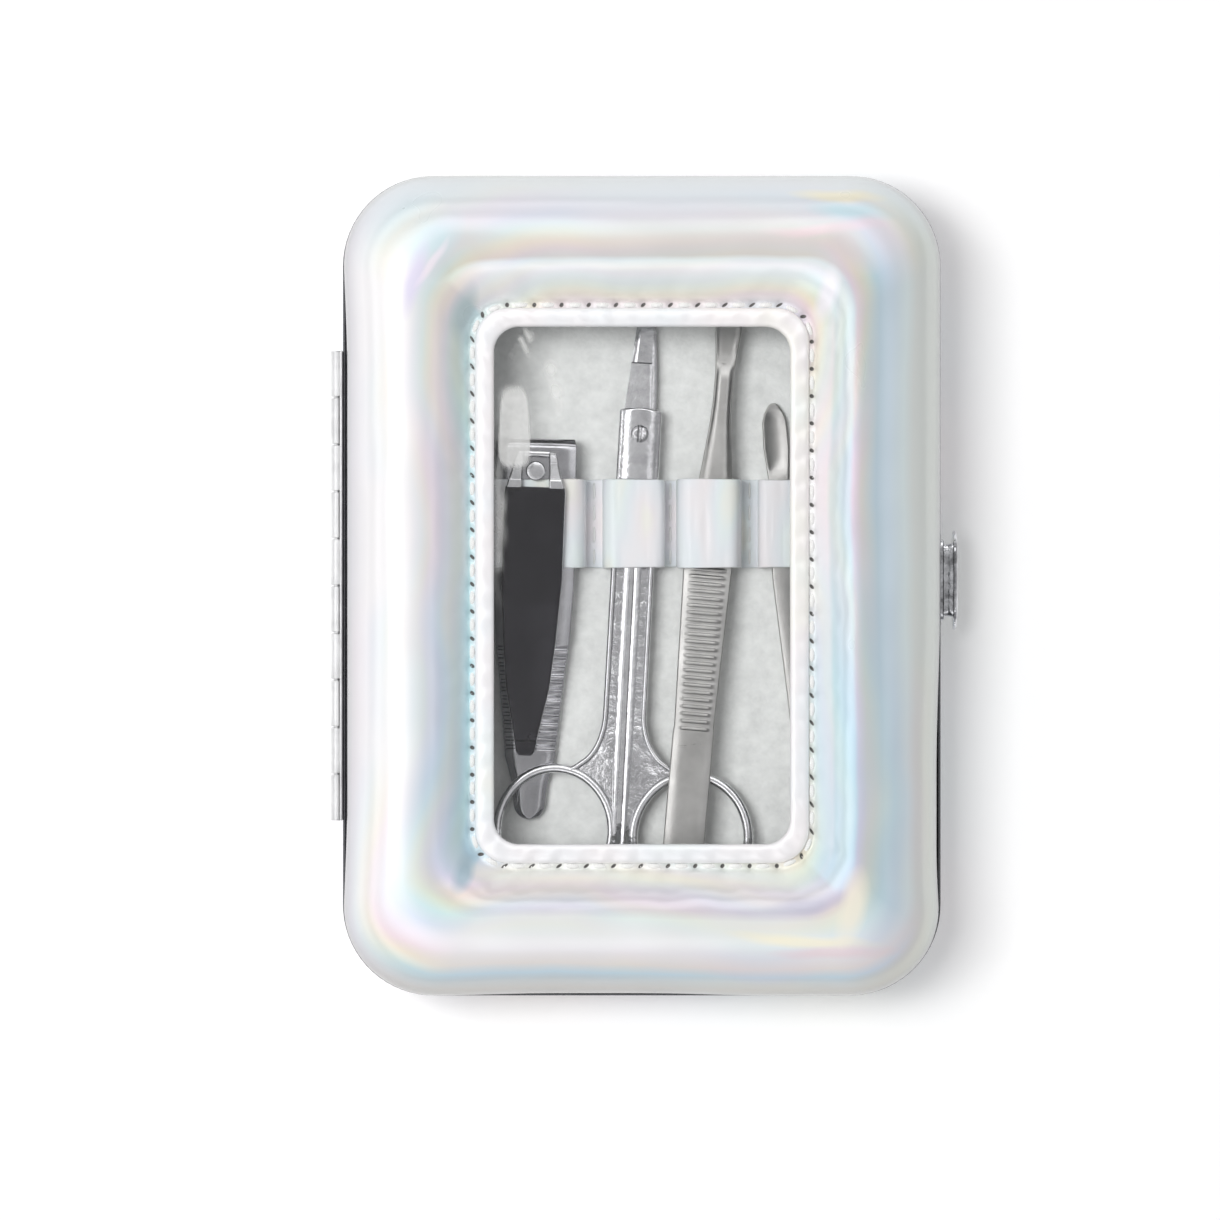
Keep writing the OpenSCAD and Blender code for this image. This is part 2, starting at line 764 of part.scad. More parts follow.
// Long round-ended plate across X
module pill(length, height, x0, x1) {
    straight = length - height;
    box([x0, -straight / 2, -height / 2], [x1, straight / 2, height / 2]);
    for (side = [-1, 1]) translate([x0, side * straight / 2, 0])
        rotate([0, 90, 0]) cylinder(h = x1 - x0, r = height / 2);
}

module button_cap() {
    rim_t = 0.55 * cap_t;
    step = 0.5;
    color("silver") translate([cap_x + layer_gap / 5, button_y, button_z]) {
        pill(cap_l, cap_h, 0, rim_t);
        pill(cap_l - 2 * step, cap_h - 2 * step, 0, cap_t);
    }
}

// Puts a clipper piece in its place on the board
module in_clipper() {
    translate([clipper_x, clipper_y, board_top]) rotate([0, 0, clipper_turn]) children();
}

// Plan of the clipper's arms, from the jaws to the rounded tail
function arm_plan() =
    let (tail_r = 2, tail_y = -clipper_tail + tail_r)
    concat([
        [clipper_nose, clipper_half - 0.3],
        [clipper_nose - 1, clipper_half],
        [-16, clipper_half],
        [-24, clipper_half - 0.5],
        [-30, clipper_half - 1.2],
        [-39.5, clipper_half - 2.1],
        [-43.5, tail_r + 0.3]
    ], [for (k = [0:6]) [tail_y - tail_r * sin(15 * k), tail_r * cos(15 * k)]]);

// Height of the lower arm's top, from the tail to just behind the pin
function arm_top(y) =
    arm_t + lerp(arm_low_z, arm_pin_z, (y + clipper_tail) / (clipper_tail - 1));

module clipper_arm(points, hole_r) {
    difference() {
        intersection() {
            side_solid(points, clipper_half + 1);
            linear_extrude(20) polygon(plan(arm_plan()));
        }
        cylinder(h = 20, r = hole_r);
        translate([0, clipper_rivet_y, 0]) cylinder(h = 20, r = 0.7 + run_gap);
    }
}

module clipper_lower_arm() {
    jaw_z = arm_lift - jaw_gap - 0.5;
    color("silver") in_clipper() clipper_arm([
        [-clipper_tail, arm_low_z],
        [-1, arm_pin_z],
        [2, arm_pin_z + 0.2],
        [clipper_nose, jaw_z],
        [clipper_nose, jaw_z + 0.3],
        [1.6, arm_pin_z + arm_t + 0.25],
        [-1, arm_pin_z + arm_t],
        [-clipper_tail, arm_low_z + arm_t]
    ], clipper_pin_r + 0.15);
}

module clipper_upper_arm() {
    jaw_z = arm_lift - 0.2;
    flat_y = flat_l - clipper_tail;
    tail_z = arm_top(-clipper_tail) + arm_gap;
    flat_z = arm_top(flat_y) + arm_gap;
    mid_y = -8;
    mid_z = lerp(flat_z, arm_lift, 0.9);
    color("silver") in_clipper() difference() {
        clipper_arm([
            [-clipper_tail, tail_z],
            [flat_y, flat_z],
            [mid_y, mid_z],
            [0, arm_lift],
            [2.5, arm_lift],
            [clipper_nose - 0.1, jaw_z],
            [clipper_nose, jaw_z + 0.2],
            [clipper_nose - 0.9, arm_lift + arm_t - 0.1],
            [0, arm_lift + arm_t],
            [mid_y, mid_z + arm_t],
            [flat_y, flat_z + arm_t],
            [-clipper_tail, tail_z + arm_t]
        ], clipper_pin_r + 0.3);
        for (k = [0:12]) {
            y = -24.5 - k * ridge_pitch;
            z = lerp(flat_z, mid_z, (y - flat_y) / (mid_y - flat_y)) + arm_t;
            translate([0, y, z]) cube([3 * clipper_half, 0.4, 0.3], center = true);
        }
    }
}

module clipper_lever() {
    tail_y = -39.3;
    color("dimgray") in_clipper() rotate([0, 0, lever_turn]) difference() {
        intersection() {
            side_solid([
                [2.8, arm_lift + arm_t + 0.25],
                [1.2, arm_lift + arm_t + 0.3],
                [-0.6, lever_z],
                [-19, lever_z],
                [tail_y, lever_z - 2.1],
                [tail_y, lever_z - 2.1 + 0.9 * lever_t],
                [-18, lever_z + lever_t],
                [-1.2, lever_z + lever_t],
                [1.2, arm_lift + arm_t + 0.4 + lever_t],
                [2.8, arm_lift + arm_t + lever_t]
            ], lever_half + 1);
            linear_extrude(20) polygon(plan([
                [2.8, lever_half - 1.5],
                [0, lever_half - 0.8],
                [-3, lever_half],
                [-15, lever_half],
                [-24, lever_half - 0.6],
                [-30, lever_half - 1.2],
                [-36, lever_half - 2.5],
                [tail_y + 0.5, lever_half - 3],
                [tail_y, lever_half - 3.4]
            ]));
        }
        cylinder(h = 20, r = clipper_pin_r + 0.7);
    }
}

module clipper_pin() {
    color("gainsboro") in_clipper() {
        translate([0, 0, 0.1]) cylinder(h = lever_z + lever_t + 0.3, r = clipper_pin_r);
        translate([0, 0, 0.1]) cylinder(h = arm_pin_z - 0.15, r = clipper_pin_r + 0.7);
        translate([0, 0, lever_z + lever_t]) cylinder(h = 0.4, r = clipper_pin_r + 0.35);
    }
}

module clipper_rivet() {
    color("gray") in_clipper() translate([0, clipper_rivet_y, arm_low_z])
        cylinder(h = 2 * arm_t + arm_gap, r = 0.7);
}

// Puts a scissor piece in its place on the board
module in_scissors() {
    translate([pivot_x, pivot_y, board_top + tool_gap]) rotate([0, 0, scissor_turn]) children();
}

// Handle of one half in plan, on the side of +X; a concave web widens it to its ring,
// which can lie a little further out
module handle_plan(out) {
    web_l = 7.5;
    reach_y = -ring_reach;
    web_x = ring_x + out - 2.3;
    web_y = reach_y + ring_b + ring_wire;
    difference() {
        union() {
            translate([ring_x + out, reach_y])
                polygon(oval(ring_a + ring_wire, ring_b + ring_wire));
            polygon(concat(
                [[half_gap, -shank_start], [shank_half, -shank_start]],
                [for (k = [0:6])
                    let (a = 15 * k)
                    [lerp(web_x, shank_half, cos(a)), web_y + web_l * (1 - sin(a))]],
                [[web_x, reach_y], [half_gap, reach_y]]
            ));
        }
        translate([ring_x + out, reach_y]) polygon(oval(ring_a, ring_b));
    }
}

// One half with its ring on the side of +X; its blade lies at blade_z
module scissor_half(blade_z, blade_points, out = 0) {
    translate([0, 0, blade_z]) linear_extrude(blade_t) polygon(blade_points);
    translate([0, 0, blade_z]) cylinder(h = blade_t, r = boss_r);
    box([half_gap, -shank_start - 0.5, blade_z], [shank_half, -1, blade_z + blade_t]);
    intersection() {
        union() {
            box([0, -ring_reach + ring_b, 0], [shank_half, -shank_start, shank_t]);
            box(
                [-1, -ring_reach - 2 * ring_b, shank_t - ring_t],
                [2 * (ring_x + out) + 2, -shank_start, shank_t]
            );
        }
        linear_extrude(2 * shank_t, center = true) handle_plan(out);
    }
}

module scissor_lower_half() {
    color("silver") in_scissors() rotate([0, 0, scissor_open]) difference() {
        scissor_half(0, [
            [-2.2, 0], [-2.3, 8], [-1.6, 18], [-0.3, blade_l], [0.3, blade_l - 0.3],
            [1.3, 16], [2, 7], [2.2, 0]
        ], ring_out);
        translate([0, 0, -1]) cylinder(h = shank_t + 2, r = screw_r + run_gap);
    }
}

module scissor_upper_half() {
    color("silver") in_scissors() mirror([1, 0, 0]) difference() {
        scissor_half(shank_t - blade_t, [
            [-1.7, 0], [-1.6, 8], [-1.1, 18], [-0.4, blade_l], [0.4, blade_l - 0.8],
            [1.6, 17], [2.5, 8], [2.5, 0]
        ]);
        translate([0, 0, -1]) cylinder(h = shank_t + 2, r = screw_r + run_gap);
    }
}

module scissor_screw() {
    color("gainsboro") in_scissors() difference() {
        union() {
            translate([0, 0, -0.05]) cylinder(h = shank_t + 0.15, r = screw_r);
            translate([0, 0, shank_t + 0.05]) cylinder(h = 0.5, r = screw_head_r);
        }
        translate([0, 0, shank_t + 0.5]) cube([3, 0.3, 0.4], center = true);
    }
}

// Puts a tweezer piece in its place: closed end on the finger ring, tip on the board
module in_tweezers() {
    end_z = board_top + ring_top + tool_gap + tweezer_rest * sin(tweezer_pitch);
    translate([tweezer_x, tweezer_y, end_z])
        rotate([0, 0, tweezer_turn]) rotate([-tweezer_pitch, 0, 0]) children();
}

module tweezer_leaf(points) {
    intersection() {
        side_solid(points, grip_half + 1);
        translate([0, 0, -1]) linear_extrude(10) polygon(plan([
            [0, tweezer_half - 0.7],
            [0.9, tweezer_half],
            [rib_from, tweezer_half],
            [rib_from + 1, tweezer_half - 0.1],
            [rib_to + 0.9, grip_half],
            [lerp(rib_to, neck_y, 0.5), grip_half - 0.2],
            [neck_y, grip_half - 1],
            [neck_y + 3, grip_half - 1.2],
            [tweezer_l - 10.4, grip_half - 1.9],
            [tweezer_l - 4.5, grip_half - 1.6],
            [tweezer_l - 1.5, grip_half - 1.65],
            [tweezer_l, grip_half - 2.4]
        ]));
    }
}

module tweezer_lower_leaf() {
    color("silver") in_tweezers() tweezer_leaf([
        [0, 0],
        [tweezer_l, 0],
        [tweezer_l, tip_t],
        [neck_y, tweezer_t],
        [0, tweezer_t]
    ]);
}

// Underside of the upper leaf: flat over the weld, then bowed away from the lower leaf
function bow_z(y) = tweezer_t + arm_gap + lookup(y, [
    [weld_l, 0],
    [bow_y, 0.75],
    [tweezer_l, 1.55]
]);

module tweezer_upper_leaf() {
    rib_n = floor((rib_to - rib_from) / rib_pitch);
    color("silver") in_tweezers() tweezer_leaf(concat(
        [for (y = [0, weld_l, bow_y, tweezer_l]) [y, bow_z(y)]],
        [[tweezer_l, bow_z(tweezer_l) + tip_t], [neck_y, bow_z(neck_y) + tweezer_t]],
        [for (k = [rib_n:-1:1]) let (y = rib_from + k * rib_pitch, z = bow_z(y) + tweezer_t)
            each [
                [y, z],
                [y - 0.1 * rib_pitch, z + rib_h],
                [y - 0.5 * rib_pitch, z + rib_h],
                [y - 0.6 * rib_pitch, z]
            ]],
        [[weld_l, bow_z(weld_l) + tweezer_t], [0, bow_z(0) + tweezer_t]]
    ));
}

module cuticle_pusher() {
    color("silver")
    translate([pusher_x, pusher_y, board_top + tool_gap]) rotate([0, 0, pusher_turn])
    intersection() {
        side_solid([
            [0, 0.2], [-4, 0], [-pusher_l, 0], [-pusher_l, 0.5 * pusher_t],
            [-40, pusher_t], [-13, pusher_t], [-9, 0.65 * pusher_t], [0, 0.2 + 0.3 * pusher_t]
        ], 2 * handle_half);
        linear_extrude(2 * pusher_t) polygon(plan([
            [0, 0.5],
            [-0.8, spoon_half - 0.7],
            [-2.6, spoon_half - 0.1],
            [-6, spoon_half],
            [-9.5, spoon_half - 0.25],
            [-12.5, spoon_half - 0.5],
            [-19, handle_half - 0.15],
            [-24, handle_half],
            [-41, handle_half - 0.8],
            [-60, handle_half - 1.3],
            [-pusher_l, 0.2]
        ]));
    }
}

base_cover();
base_padding();
base_shell();
base_frame();
base_lining();
tool_board();
tool_strap();
strap_stitches();
hinge_base_leaf();
hinge_lid_leaf();
hinge_pin();
latch_housing();
latch_spring();
latch_rivets();
lid_cover();
lid_padding();
lid_shell();
lid_frame();
lid_lining();
lid_catch();
window_pane();
window_backing();
window_binding();
window_stitches();
button_cap();
button_shank();
clipper_lower_arm();
clipper_upper_arm();
clipper_lever();
clipper_pin();
clipper_rivet();
scissor_lower_half();
scissor_upper_half();
scissor_screw();
tweezer_lower_leaf();
tweezer_upper_leaf();
cuticle_pusher();
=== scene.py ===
"""Looks of a framed manicure set case with a stitched clear window and the tools inside it.

Lengths are in millimetres in the classes below and become metres when a mesh is made.
X runs from the hinge to the push button, Y along the hinge and Z up through the lid.
"""
import json
import logging
from collections.abc import Callable
from dataclasses import dataclass
from enum import Enum

import bmesh
import bpy
import numpy as np
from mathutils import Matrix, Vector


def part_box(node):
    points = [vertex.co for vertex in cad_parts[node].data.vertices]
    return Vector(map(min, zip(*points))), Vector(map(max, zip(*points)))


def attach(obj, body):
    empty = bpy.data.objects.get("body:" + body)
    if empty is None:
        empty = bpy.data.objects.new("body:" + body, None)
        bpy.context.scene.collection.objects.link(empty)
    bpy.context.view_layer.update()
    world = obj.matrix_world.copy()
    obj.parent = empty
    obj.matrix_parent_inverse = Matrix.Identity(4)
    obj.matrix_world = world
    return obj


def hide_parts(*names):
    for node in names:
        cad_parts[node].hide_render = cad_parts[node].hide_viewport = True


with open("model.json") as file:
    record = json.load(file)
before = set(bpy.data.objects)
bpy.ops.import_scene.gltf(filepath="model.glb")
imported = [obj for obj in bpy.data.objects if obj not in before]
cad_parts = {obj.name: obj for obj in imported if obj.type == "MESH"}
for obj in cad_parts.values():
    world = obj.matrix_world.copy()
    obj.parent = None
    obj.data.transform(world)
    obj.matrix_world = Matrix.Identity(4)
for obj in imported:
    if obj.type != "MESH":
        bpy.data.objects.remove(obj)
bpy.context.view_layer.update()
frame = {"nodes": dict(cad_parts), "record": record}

LOG = logging.getLogger("manicure_case")
MM = 0.001
Array = np.ndarray
Colour = tuple[float, float, float]
Pair = tuple[float, float]
Places = tuple[Array, Array, Array, Array]
Node, NodeTree, Socket = bpy.types.Node, bpy.types.NodeTree, bpy.types.NodeSocket
Material = bpy.types.Material


class Body(Enum):
    """Rigid groups that the pieces ride on."""

    BASE = "base"
    LID = "lid"
    BUTTON = "button"
    CLIPPER = "clipper"
    CLIPPER_TOP = "clipper_top"
    LEVER = "clipper_thumb_lever"
    SCISSORS = "scissors"
    SCISSORS_TOP = "scissors_top"
    TWEEZERS = "tweezers"
    TWEEZERS_TOP = "tweezers_top"
    PUSHER = "pusher"


class Slot(Enum):
    """Finishes of the object, by the name that its record gives them."""

    FOIL = "foil_leatherette"
    FOAM = "foam"
    TRAY = "tray_plastic"
    FRAME = "frame_metal"
    LINING = "lining"
    BOARD = "board_leatherette"
    THREAD = "thread"
    HINGE = "hinge_metal"
    BUTTON = "button_metal"
    SPRING = "spring_steel"
    CLEAR = "clear_sheet"
    TOOL = "tool_steel"
    SATIN = "satin_steel"


def box_mm(name: str) -> tuple[Array, Array]:
    """Lowest and highest corner of a node of the frame, in millimetres."""
    low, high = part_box(name)
    return np.array(low) / MM, np.array(high) / MM


def srgb(red: float, green: float, blue: float) -> Colour:
    """Linear colour of a display colour given from 0 to 255.

    Args:
        red: Red as displayed.
        green: Green as displayed.
        blue: Blue as displayed.

    Returns:
        The three linear values.
    """
    shown = np.array([red, green, blue]) / 255
    linear = np.where(shown <= 0.04045, shown / 12.92, ((shown + 0.055) / 1.055) ** 2.4)
    return tuple(float(v) for v in linear)


def lerp(a: float | Array, b: float | Array, u: float | Array) -> float | Array:
    """Value a share u of the way from a to b."""
    return a + (b - a) * u


def smooth(low: float, high: float, x: Array) -> Array:
    """Smooth step from 0 at low to 1 at high: 3 t squared less 2 t cubed."""
    t = np.clip((x - low) / (high - low), 0, 1)
    return t * t * (3 - 2 * t)


def ripple(x: Array, y: Array, length: float, seed: int) -> Array:
    """Seeded soft noise: the mean of plane waves in many directions, scaled to about 1.

    Args:
        x: First coordinate of each point.
        y: Second coordinate of each point.
        length: Typical wavelength.
        seed: Seed of the waves' directions and phases.

    Returns:
        One value per point.
    """
    waves = 10
    rng = np.random.default_rng(seed)
    turn = rng.uniform(0, 2 * np.pi, waves)
    phase = rng.uniform(0, 2 * np.pi, waves)
    wave = 2 * np.pi / (length * rng.uniform(0.6, 1.6, waves))
    total = np.zeros(np.broadcast(x, y).shape)
    for k in range(waves):
        total += np.sin(wave[k] * (x * np.cos(turn[k]) + y * np.sin(turn[k])) + phase[k])
    return total / np.sqrt(waves)


@dataclass
class Surface:
    """Points, faces and values per point of a mesh in the making."""

    points: Array
    faces: list[Array]
    values: dict[str, Array]

    @staticmethod
    def from_grid(
        rings: Array, wrap_rows: bool = False, values: dict[str, Array] | None = None
    ) -> "Surface":
        """Surface through rings that turn anticlockwise about the way the rows advance.

        Unless wrapped, the first and the last ring are closed by a fan to their middle.

        Args:
            rings: Points as rows, columns and coordinates.
            wrap_rows: Whether the last ring joins the first, as on a hoop.
            values: Values per point, as rows and columns, with a last axis for vectors.

        Returns:
            The surface, facing outwards.
        """
        rows, cols = rings.shape[:2]
        row, col = np.meshgrid(np.arange(rows if wrap_rows else rows - 1), np.arange(cols), indexing="ij")
        nxt = (col + 1) % cols
        up = ((row + 1) % rows) * cols
        quads = np.stack([row * cols + col, row * cols + nxt, up + nxt, up + col], -1).reshape(-1, 4)
        points = [rings.reshape(-1, 3)]
        faces = [quads]
        kept = {name: [v.reshape((rows * cols,) + v.shape[2:])] for name, v in (values or {}).items()}
        line = np.arange(cols)
        ahead = (line + 1) % cols
        count = rows * cols
        for end, ring in ((0, 0), (1, rows - 1)):
            if wrap_rows:
                continue
            points.append(rings[ring].mean(0)[None])
            for name, v in (values or {}).items():
                kept[name].append(v[ring].mean(0)[None])
            first, second = (ahead, line) if end == 0 else (line, ahead)
            faces.append(np.stack([np.full(cols, count), ring * cols + first, ring * cols + second], -1))
            count += 1
        return Surface(np.concatenate(points), faces, {n: np.concatenate(v) for n, v in kept.items()})

    def moved(self, shift: tuple[float, float, float] = (0, 0, 0), turn: float = 0, pitch: float = 0) -> "Surface":
        """Copy pitched about X, turned about Z and then shifted.

        Args:
            shift: Shift along X, Y and Z.
            turn: Turn about Z in degrees.
            pitch: Turn about X in degrees, made first.

        Returns:
            The moved surface.
        """
        tilt, spin = np.radians(pitch), np.radians(turn)
        about_x = np.array([[1, 0, 0], [0, np.cos(tilt), -np.sin(tilt)], [0, np.sin(tilt), np.cos(tilt)]])
        about_z = np.array([[np.cos(spin), -np.sin(spin), 0], [np.sin(spin), np.cos(spin), 0], [0, 0, 1]])
        return Surface(self.points @ (about_z @ about_x).T + np.array(shift), self.faces, self.values)

    def mirrored(self) -> "Surface":
        """Copy mirrored across X, with its faces turned so that they still face outwards."""
        return Surface(self.points * [-1, 1, 1], [f[:, ::-1] for f in self.faces], self.values)


def joined(parts: list[Surface]) -> Surface:
    """One surface of several; a value that a part lacks is 0 there.

    Args:
        parts: Surfaces to join.

    Returns:
        The joined surface.
    """
    names = {n: v.shape[1:] for part in parts for n, v in part.values.items()}
    values = {
        n: np.concatenate([p.values.get(n, np.zeros((len(p.points),) + shape)) for p in parts])
        for n, shape in names.items()
    }
    faces, count = [], 0
    for part in parts:
        faces += [f + count for f in part.faces]
        count += len(part.points)
    return Surface(np.concatenate([p.points for p in parts]), faces, values)


def box_section(face_points: int = 5, corner_points: int = 4) -> tuple[Array, Array, Array]:
    """Template of a rounded box section, turning from its top to its right.

    A point is at side * (half - edge) + edge * sin(angle) across and
    level * (half height - edge) + edge * cos(angle) up.

    Args:
        face_points: Points inside the top and inside the bottom.
        corner_points: Steps of each rounded edge.

    Returns:
        The side, level and angle of each point.
    """
    across = np.linspace(-1, 1, face_points + 2)[1:-1]
    side, level, angle = [across], [np.ones(face_points)], [np.zeros(face_points)]
    for quarter, (s, v) in enumerate(((1, 1), (1, -1), (-1, -1), (-1, 1))):
        side.append(np.full(corner_points + 1, s))
        level.append(np.full(corner_points + 1, v))
        angle.append(np.linspace(quarter, quarter + 1, corner_points + 1) * np.pi / 2)
        if quarter == 1:
            side.append(-across)
            level.append(-np.ones(face_points))
            angle.append(np.full(face_points, np.pi))
    return np.concatenate(side).astype(float), np.concatenate(level).astype(float), np.concatenate(angle)


@dataclass(frozen=True)
class Bar:
    """A bar along Y with a rounded box section whose size changes from station to station.

    Each field but y holds one value per station, or one for all of them.
    """

    y: Array
    half: Array
    low: Array
    high: Array
    edge: float = 0.2
    middle: float | Array = 0.0
    crown: float | Array = 0.0
    ridge: float | Array = 0.0
    round_end: float = 0.2
    ridge_reach: float = 0.7
    crown_power: float = 2.0

    def surface(self) -> Surface:
        """Surface of the bar: the box section at each station, with quarter circle ends.

        Returns:
            The closed surface.
        """
        y = np.asarray(self.y, float)
        angle = np.linspace(0, np.pi / 2, 5)[:-1]
        run = self.round_end * (1 - np.cos(angle))
        keep = y[(y > y[0] + self.round_end) & (y < y[-1] - self.round_end)]
        all_y = np.concatenate([y[0] + run, keep, (y[-1] - run)[::-1]])
        cut = self.round_end * (1 - np.sin(angle))
        shrink = np.concatenate([cut, np.zeros(len(keep)), cut[::-1]])[:, None]
        half, low, high, middle, crown, ridge = (
            np.interp(all_y, y, np.broadcast_to(np.asarray(v, float), y.shape))[:, None]
            for v in (self.half, self.low, self.high, self.middle, self.crown, self.ridge)
        )
        wide = np.maximum(half - shrink, 0.02)
        deep = np.maximum((high - low) / 2 - 0.9 * shrink, 0.02)
        side, level, turn = box_section(17)
        edge = np.minimum(self.edge, 0.98 * np.minimum(wide, deep))
        x = side * (wide - edge) + edge * np.sin(turn) + middle
        z = (high + low) / 2 + level * (deep - edge) + edge * np.cos(turn)
        z += (level > 0) * crown * (1 - np.abs(side) ** self.crown_power)
        z += (level > 0) * ridge * (np.abs(side) < self.ridge_reach)
        return Surface.from_grid(np.stack([x, all_y[:, None] + 0 * x, z], -1))


def plate(outlines: list[Array], low: float, high: float, bevel: float) -> Surface:
    """Flat plate with rounded edges through one outline and the outlines of its holes.

    Args:
        outlines: Points in X and Y of the outside and then of each hole.
        low: Height of its underside.
        high: Height of its top.
        bevel: Radius of its edges.

    Returns:
        The plate, welded, with its faces outwards.
    """
    curve = bpy.data.curves.new("plate_outline", "CURVE")
    curve.dimensions, curve.fill_mode = "2D", "BOTH"
    bevel = min(bevel, 0.499 * (high - low))
    curve.extrude, curve.bevel_depth = (high - low) / 2 - bevel, bevel
    curve.offset, curve.bevel_resolution = -bevel, 2
    for outline in outlines:
        spline = curve.splines.new("POLY")
        spline.points.add(len(outline) - 1)
        corners = np.column_stack([outline, np.zeros(len(outline)), np.ones(len(outline))])
        spline.points.foreach_set("co", corners.ravel().astype(np.float32))
        spline.use_cyclic_u = True
    holder = bpy.data.objects.new("plate_outline", curve)
    bpy.context.scene.collection.objects.link(holder)
    bpy.context.view_layer.update()
    mesh = bpy.data.meshes.new_from_object(holder.evaluated_get(bpy.context.evaluated_depsgraph_get()))
    work = bmesh.new()
    work.from_mesh(mesh)
    bmesh.ops.remove_doubles(work, verts=work.verts, dist=0.002)
    bmesh.ops.triangulate(work, faces=work.faces)
    bmesh.ops.recalc_face_normals(work, faces=work.faces)
    points = np.array([v.co[:] for v in work.verts]) + [0, 0, (low + high) / 2]
    faces = np.array([[v.index for v in f.verts] for f in work.faces])
    work.free()
    bpy.data.objects.remove(holder)
    bpy.data.curves.remove(curve)
    bpy.data.meshes.remove(mesh)
    return Surface(points, [faces], {})


def turned(profile: list[Pair], steps: int = 40) -> Surface:
    """Solid of revolution about Z through a profile of radius and height, from low to high.

    Args:
        profile: Radii and heights.
        steps: Steps of the turn.

    Returns:
        The closed surface.
    """
    radius, height = np.array(profile, float).T[..., None]
    angle = np.linspace(0, 2 * np.pi, steps, endpoint=False)
    points = [radius * np.cos(angle), radius * np.sin(angle), height + 0 * angle]
    return Surface.from_grid(np.stack(points, -1))


def bent(v: Array, power: float) -> Array:
    """Each value's size to a power, with its sign kept."""
    return np.sign(v) * np.abs(v) ** power


def oval(half_x: float, half_y: float, middle: Pair = (0, 0), power: float = 2) -> Array:
    """Outline of a superellipse: each half axis times the cosine or sine to the power 2 / power.

    Args:
        half_x: Half axis along X.
        half_y: Half axis along Y.
        middle: Its middle.
        power: 2 for an ellipse, and more for a fuller shape.

    Returns:
        Points in X and Y.
    """
    angle = np.linspace(0, 2 * np.pi, 96, endpoint=False)
    cos, sin = (bent(v, 2 / power) for v in (np.cos(angle), np.sin(angle)))
    return np.column_stack([middle[0] + half_x * cos, middle[1] + half_y * sin])


